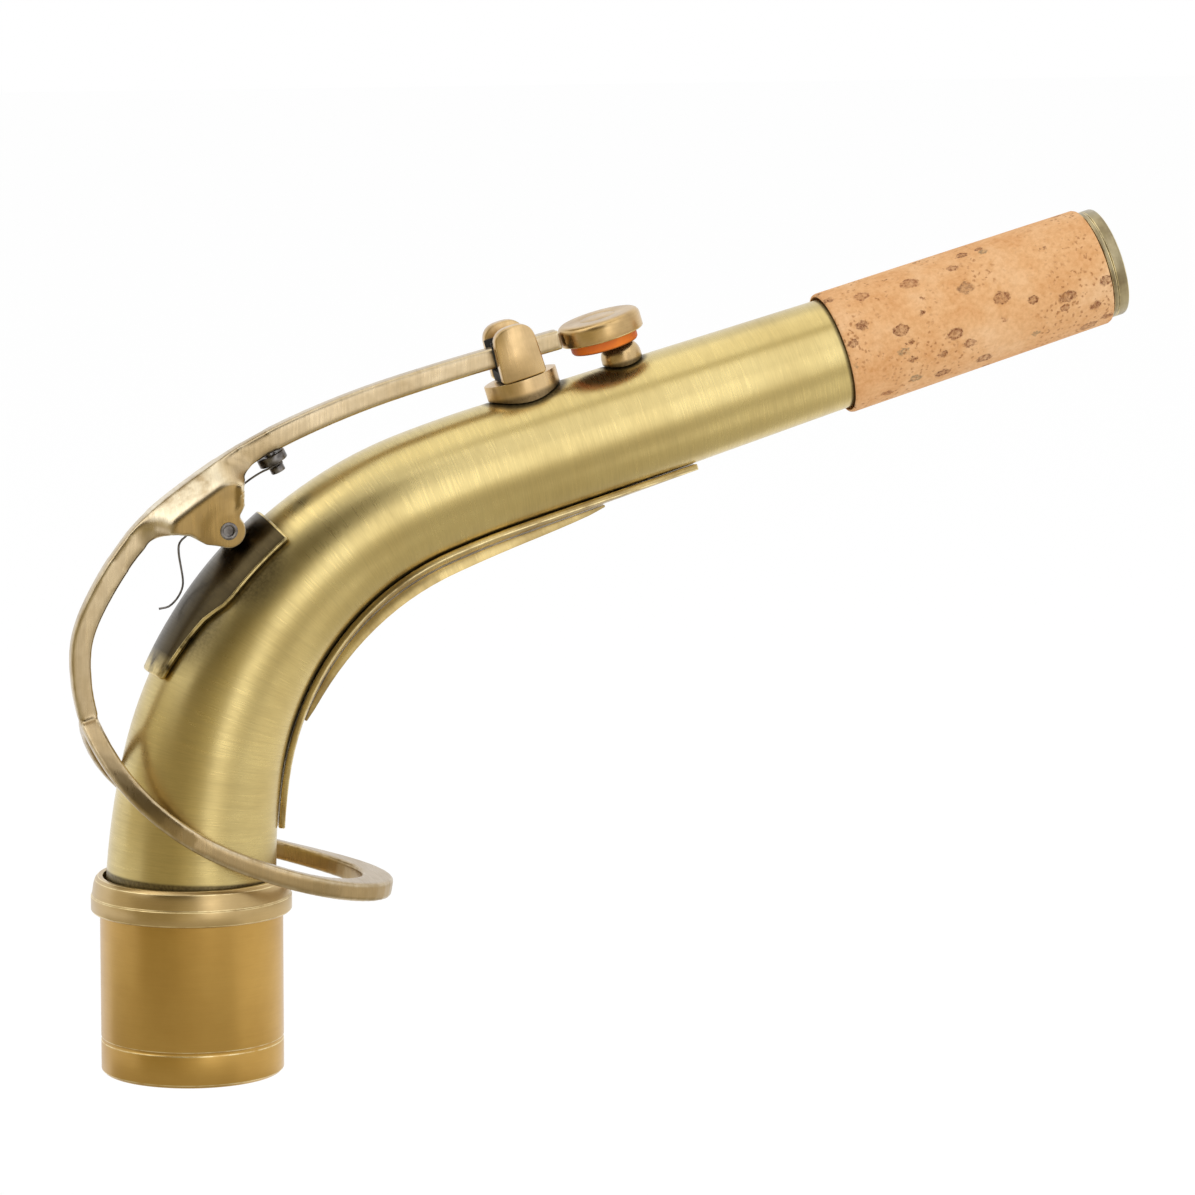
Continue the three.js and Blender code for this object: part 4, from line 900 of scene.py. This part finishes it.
def cast_in_one(nodes):
    """Joins CAD nodes into one casting: each is grown by a thin skin, all are
    wrapped together, and the skin is drawn back, which rounds every edge."""
    rough_cast = bmesh.new()
    for node in nodes:
        part = bmesh.new()
        part.from_mesh(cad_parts[node].data)
        bmesh.ops.remove_doubles(part, verts=part.verts, dist=0.001 * MM)
        bmesh.ops.recalc_face_normals(part, faces=part.faces)
        for vertex in part.verts:
            vertex.co += vertex.normal * (CASTING_SKIN * vertex.calc_shell_factor())
        grown = bpy.data.meshes.new("grown")
        part.to_mesh(grown)
        part.free()
        rough_cast.from_mesh(grown)
        bpy.data.meshes.remove(grown)
    wrap_mesh = bpy.data.meshes.new("wrap")
    rough_cast.to_mesh(wrap_mesh)
    rough_cast.free()
    wrap = bpy.data.objects.new("wrap", wrap_mesh)
    bpy.context.scene.collection.objects.link(wrap)
    skin = wrap.modifiers.new("skin", "REMESH")
    skin.mode = "VOXEL"
    skin.voxel_size = CASTING_VOXEL
    whole = bmesh.new()
    whole.from_object(wrap, bpy.context.evaluated_depsgraph_get())
    bpy.data.objects.remove(wrap)
    bpy.data.meshes.remove(wrap_mesh)
    smooth(whole, whole.verts, CASTING_ROUNDS)
    whole.normal_update()
    for vertex in whole.verts:
        vertex.co -= vertex.normal * CASTING_SKIN
    whole.normal_update()
    for face in whole.faces:
        face.smooth = True
    return whole


HINGE_STATION = 46.24 * MM
HINGE_PLACE = (4.4893 * MM, 0.0, 73.4873 * MM)
hinge_frame = Matrix.Translation(HINGE_PLACE) @ (
    neck_frame(HINGE_STATION).to_3x3().to_4x4())


def ease(value, start, stop):
    """A smooth step from 0 at start to 1 at stop."""
    share = min(1.0, max(0.0, (value - start) / (stop - start)))
    return share * share * (3 - 2 * share)


def nearest_in_plane(points):
    """A search tree over points as they are seen from the side."""
    tree = KDTree(len(points))
    for index, (along, high) in enumerate(points):
        tree.insert((along, 0.0, high), index)
    tree.balance()
    return tree


def shape_yoke(whole):
    """Files the yoke as the real one is: its top slopes broadly out to the
    ears, which end in a raised front edge and a flat boss round the hinge."""
    inward = hinge_frame.inverted()
    turned = inward.to_3x3()
    seen = []
    for vertex in whole.verts:
        place = inward @ vertex.co / MM
        facing = turned @ vertex.normal
        if YOKE_REACH[0] < place.x < YOKE_REACH[1] and place.z > YOKE_FOOT:
            seen.append((vertex, place, facing))
    top = nearest_in_plane([
        (p.x, p.z) for _, p, n in seen if abs(p.y) < 0.6 and n.z > 0.7 and p.z > 4])
    edge = nearest_in_plane([
        (p.x, p.z) for _, p, n in seen
        if abs(n.y) < 0.4 and n.z < 0.3 and (abs(p.y) > 3.2 or p.z > 5.5)])
    for vertex, place, facing in seen:
        outward = 1.0 if place.y > 0 else -1.0
        if facing.y * outward < 0.15 or abs(place.y) < 0.9:
            continue
        flat = (place.x, 0.0, place.z)
        below = top.find(flat)[2]
        inside = edge.find(flat)[2]
        spread = ease(place.x, *TAIL_FLARE) * (1 - ease(place.x, *ARM_FLARE))
        slope = RIDGE_HALF + spread * RIDGE_SLOPE * below
        web = (slope + EAR_HALF - math.hypot(slope - EAR_HALF, 0.5)) / 2
        web += LIP_RISE * (1 - ease(inside, *LIP_WIDTH)) * ease(place.x, *LIP_START)
        boss = 1 - ease(math.hypot(place.x, place.z), BOSS_FLAT, BOSS_EDGE)
        half = web + (BOSS_HALF - web) * boss
        keep = ease(place.x, *TAIL_FADE) * (1 - ease(place.x, *ARM_FADE))
        half = abs(place.y) + (half - abs(place.y)) * keep
        vertex.co = hinge_frame @ (Vector((place.x, outward * half, place.z)) * MM)


def smooth_joins(whole, nodes):
    """Blends the casting where two of its CAD nodes met."""
    for first, second in zip(nodes, nodes[1:]):
        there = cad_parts[second].data.vertices
        near = KDTree(len(there))
        for index, vertex in enumerate(there):
            near.insert(vertex.co, index)
        near.balance()
        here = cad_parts[first].data.vertices
        met = [v.co for v in here if near.find(v.co)[2] < JOIN_TOUCH]
        if not met:
            continue
        middle_of_join = sum(met, Vector()) / len(met)
        around = [v for v in whole.verts if (v.co - middle_of_join).length < JOIN_REACH]
        smooth(whole, around, JOIN_ROUNDS)


KEY_NODES = ("lever_front_arm", "lever_yoke", "lever_rear_arm", "octave_ring")
key = cast_in_one(KEY_NODES)
shape_yoke(key)
smooth_joins(key, KEY_NODES)
smooth(key, key.verts, FILED_ROUNDS)
ears = [
    v for v in key.verts
    if abs((hinge_frame.inverted() @ v.co).x / MM) < EAR_REACH
    and (hinge_frame.inverted() @ v.co).z > EAR_FOOT * MM
]
smooth(key, ears, EAR_ROUNDS)
key.normal_update()
wear_and_sheen = key.verts.layers.float.new("wear_and_sheen")
darkening = key.verts.layers.float.new("darkening")
inward = hinge_frame.inverted()
for vertex in key.verts:
    around = [edge.other_vert(vertex).co for edge in vertex.link_edges]
    dip = sum(((place - vertex.co) for place in around), Vector()) / len(around)
    crest = -dip.dot(vertex.normal) / CASTING_VOXEL
    vertex[wear_and_sheen] = min(1.0, max(0.0, crest * CREST_GAIN - CREST_START))
    place = inward @ vertex.co / MM
    facing = inward.to_3x3() @ vertex.normal
    # Painted shade: near the hinge, faces that don't look up take the dark colour; the ring and
    # the tail's foot darken towards the bottom.
    on_plate = 1 - ease(math.hypot(place.x, place.z - PLATE_MIDDLE), *PLATE_EDGE)
    on_plate *= 1 - ease(facing.z, *PLATE_FACING)
    vertex[darkening] = max(on_plate, RING_DARKENING * (1 - ease(vertex.co.z / MM, *RING_DARKENING_FADE)))
    # Painted highlight: the yoke's top, where it looks up, takes the pale worn colour.
    on_top = ease(place.x, *TOP_FROM) * (1 - ease(place.x, *TOP_TO)) * ease(place.z, *TOP_RISE)
    vertex[wear_and_sheen] = max(vertex[wear_and_sheen], TOP_SHEEN * on_top * ease(facing.z, *TOP_FACING))
key_piece = make_piece(
    "key", key, "octave_key", "lever_front_arm", key_brass)
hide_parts("lever_yoke", "lever_rear_arm", "octave_ring")

# Screws, boss and spring
# Blued steel: the pivot screw with its socket, the little boss and screw, and
# the spring that they hold, bent from hardened wire. It can't flex here, so its
# foot is lifted to stay off the saddle when the key opens.
blued, tree = bare_material("blued_steel")
place = put(tree, "ShaderNodeTexCoord").outputs["Object"]
scuffs = put(tree, "ShaderNodeTexNoise", {"Vector": place, "Scale": 900.0, "Detail": 5.0})
steel_bump = put(tree, "ShaderNodeBump", {
    "Height": scuffs.outputs["Fac"], "Strength": 0.4, "Distance": 0.01 * MM})
steel_surface = put(tree, "ShaderNodeBsdfPrincipled", {
    "Base Color": ramp(tree, scuffs.outputs["Fac"], [
        (0.35, (0.08, 0.07, 0.065)), (0.7, (0.30, 0.28, 0.27))], "LINEAR"),
    "Roughness": put(tree, "ShaderNodeMapRange", {
        "Value": scuffs.outputs["Fac"], "To Min": 0.22, "To Max": 0.42}).outputs[0],
    "Metallic": 1.0, "Normal": steel_bump.outputs[0]})
put(tree, "ShaderNodeOutputMaterial", {"Surface": steel_surface.outputs[0]})
dress("pivot", "pivot_screw", "octave_key", blued, 0.06, 40)
dress("boss", "spring_boss", "octave_key", blued, 0.12, 40)
dress("boss_screw", "spring_screw", "octave_key", blued, 0.06, 40)
SPRING_THINNED = 0.08 * MM
FOOT_LIFT = 0.55 * MM
spring = cad_copy("key_spring")
bmesh.ops.recalc_face_normals(spring, faces=spring.faces)
for vertex in spring.verts:
    thinner = vertex.co - vertex.normal * SPRING_THINNED
    place = hinge_frame.inverted() @ thinner
    place.z += FOOT_LIFT * ease(-place.x / MM, 4.0, 8.0)
    vertex.co = hinge_frame @ place
soften(spring, 0.0, 60)
make_piece("spring", spring, "octave_key", "key_spring", blued)
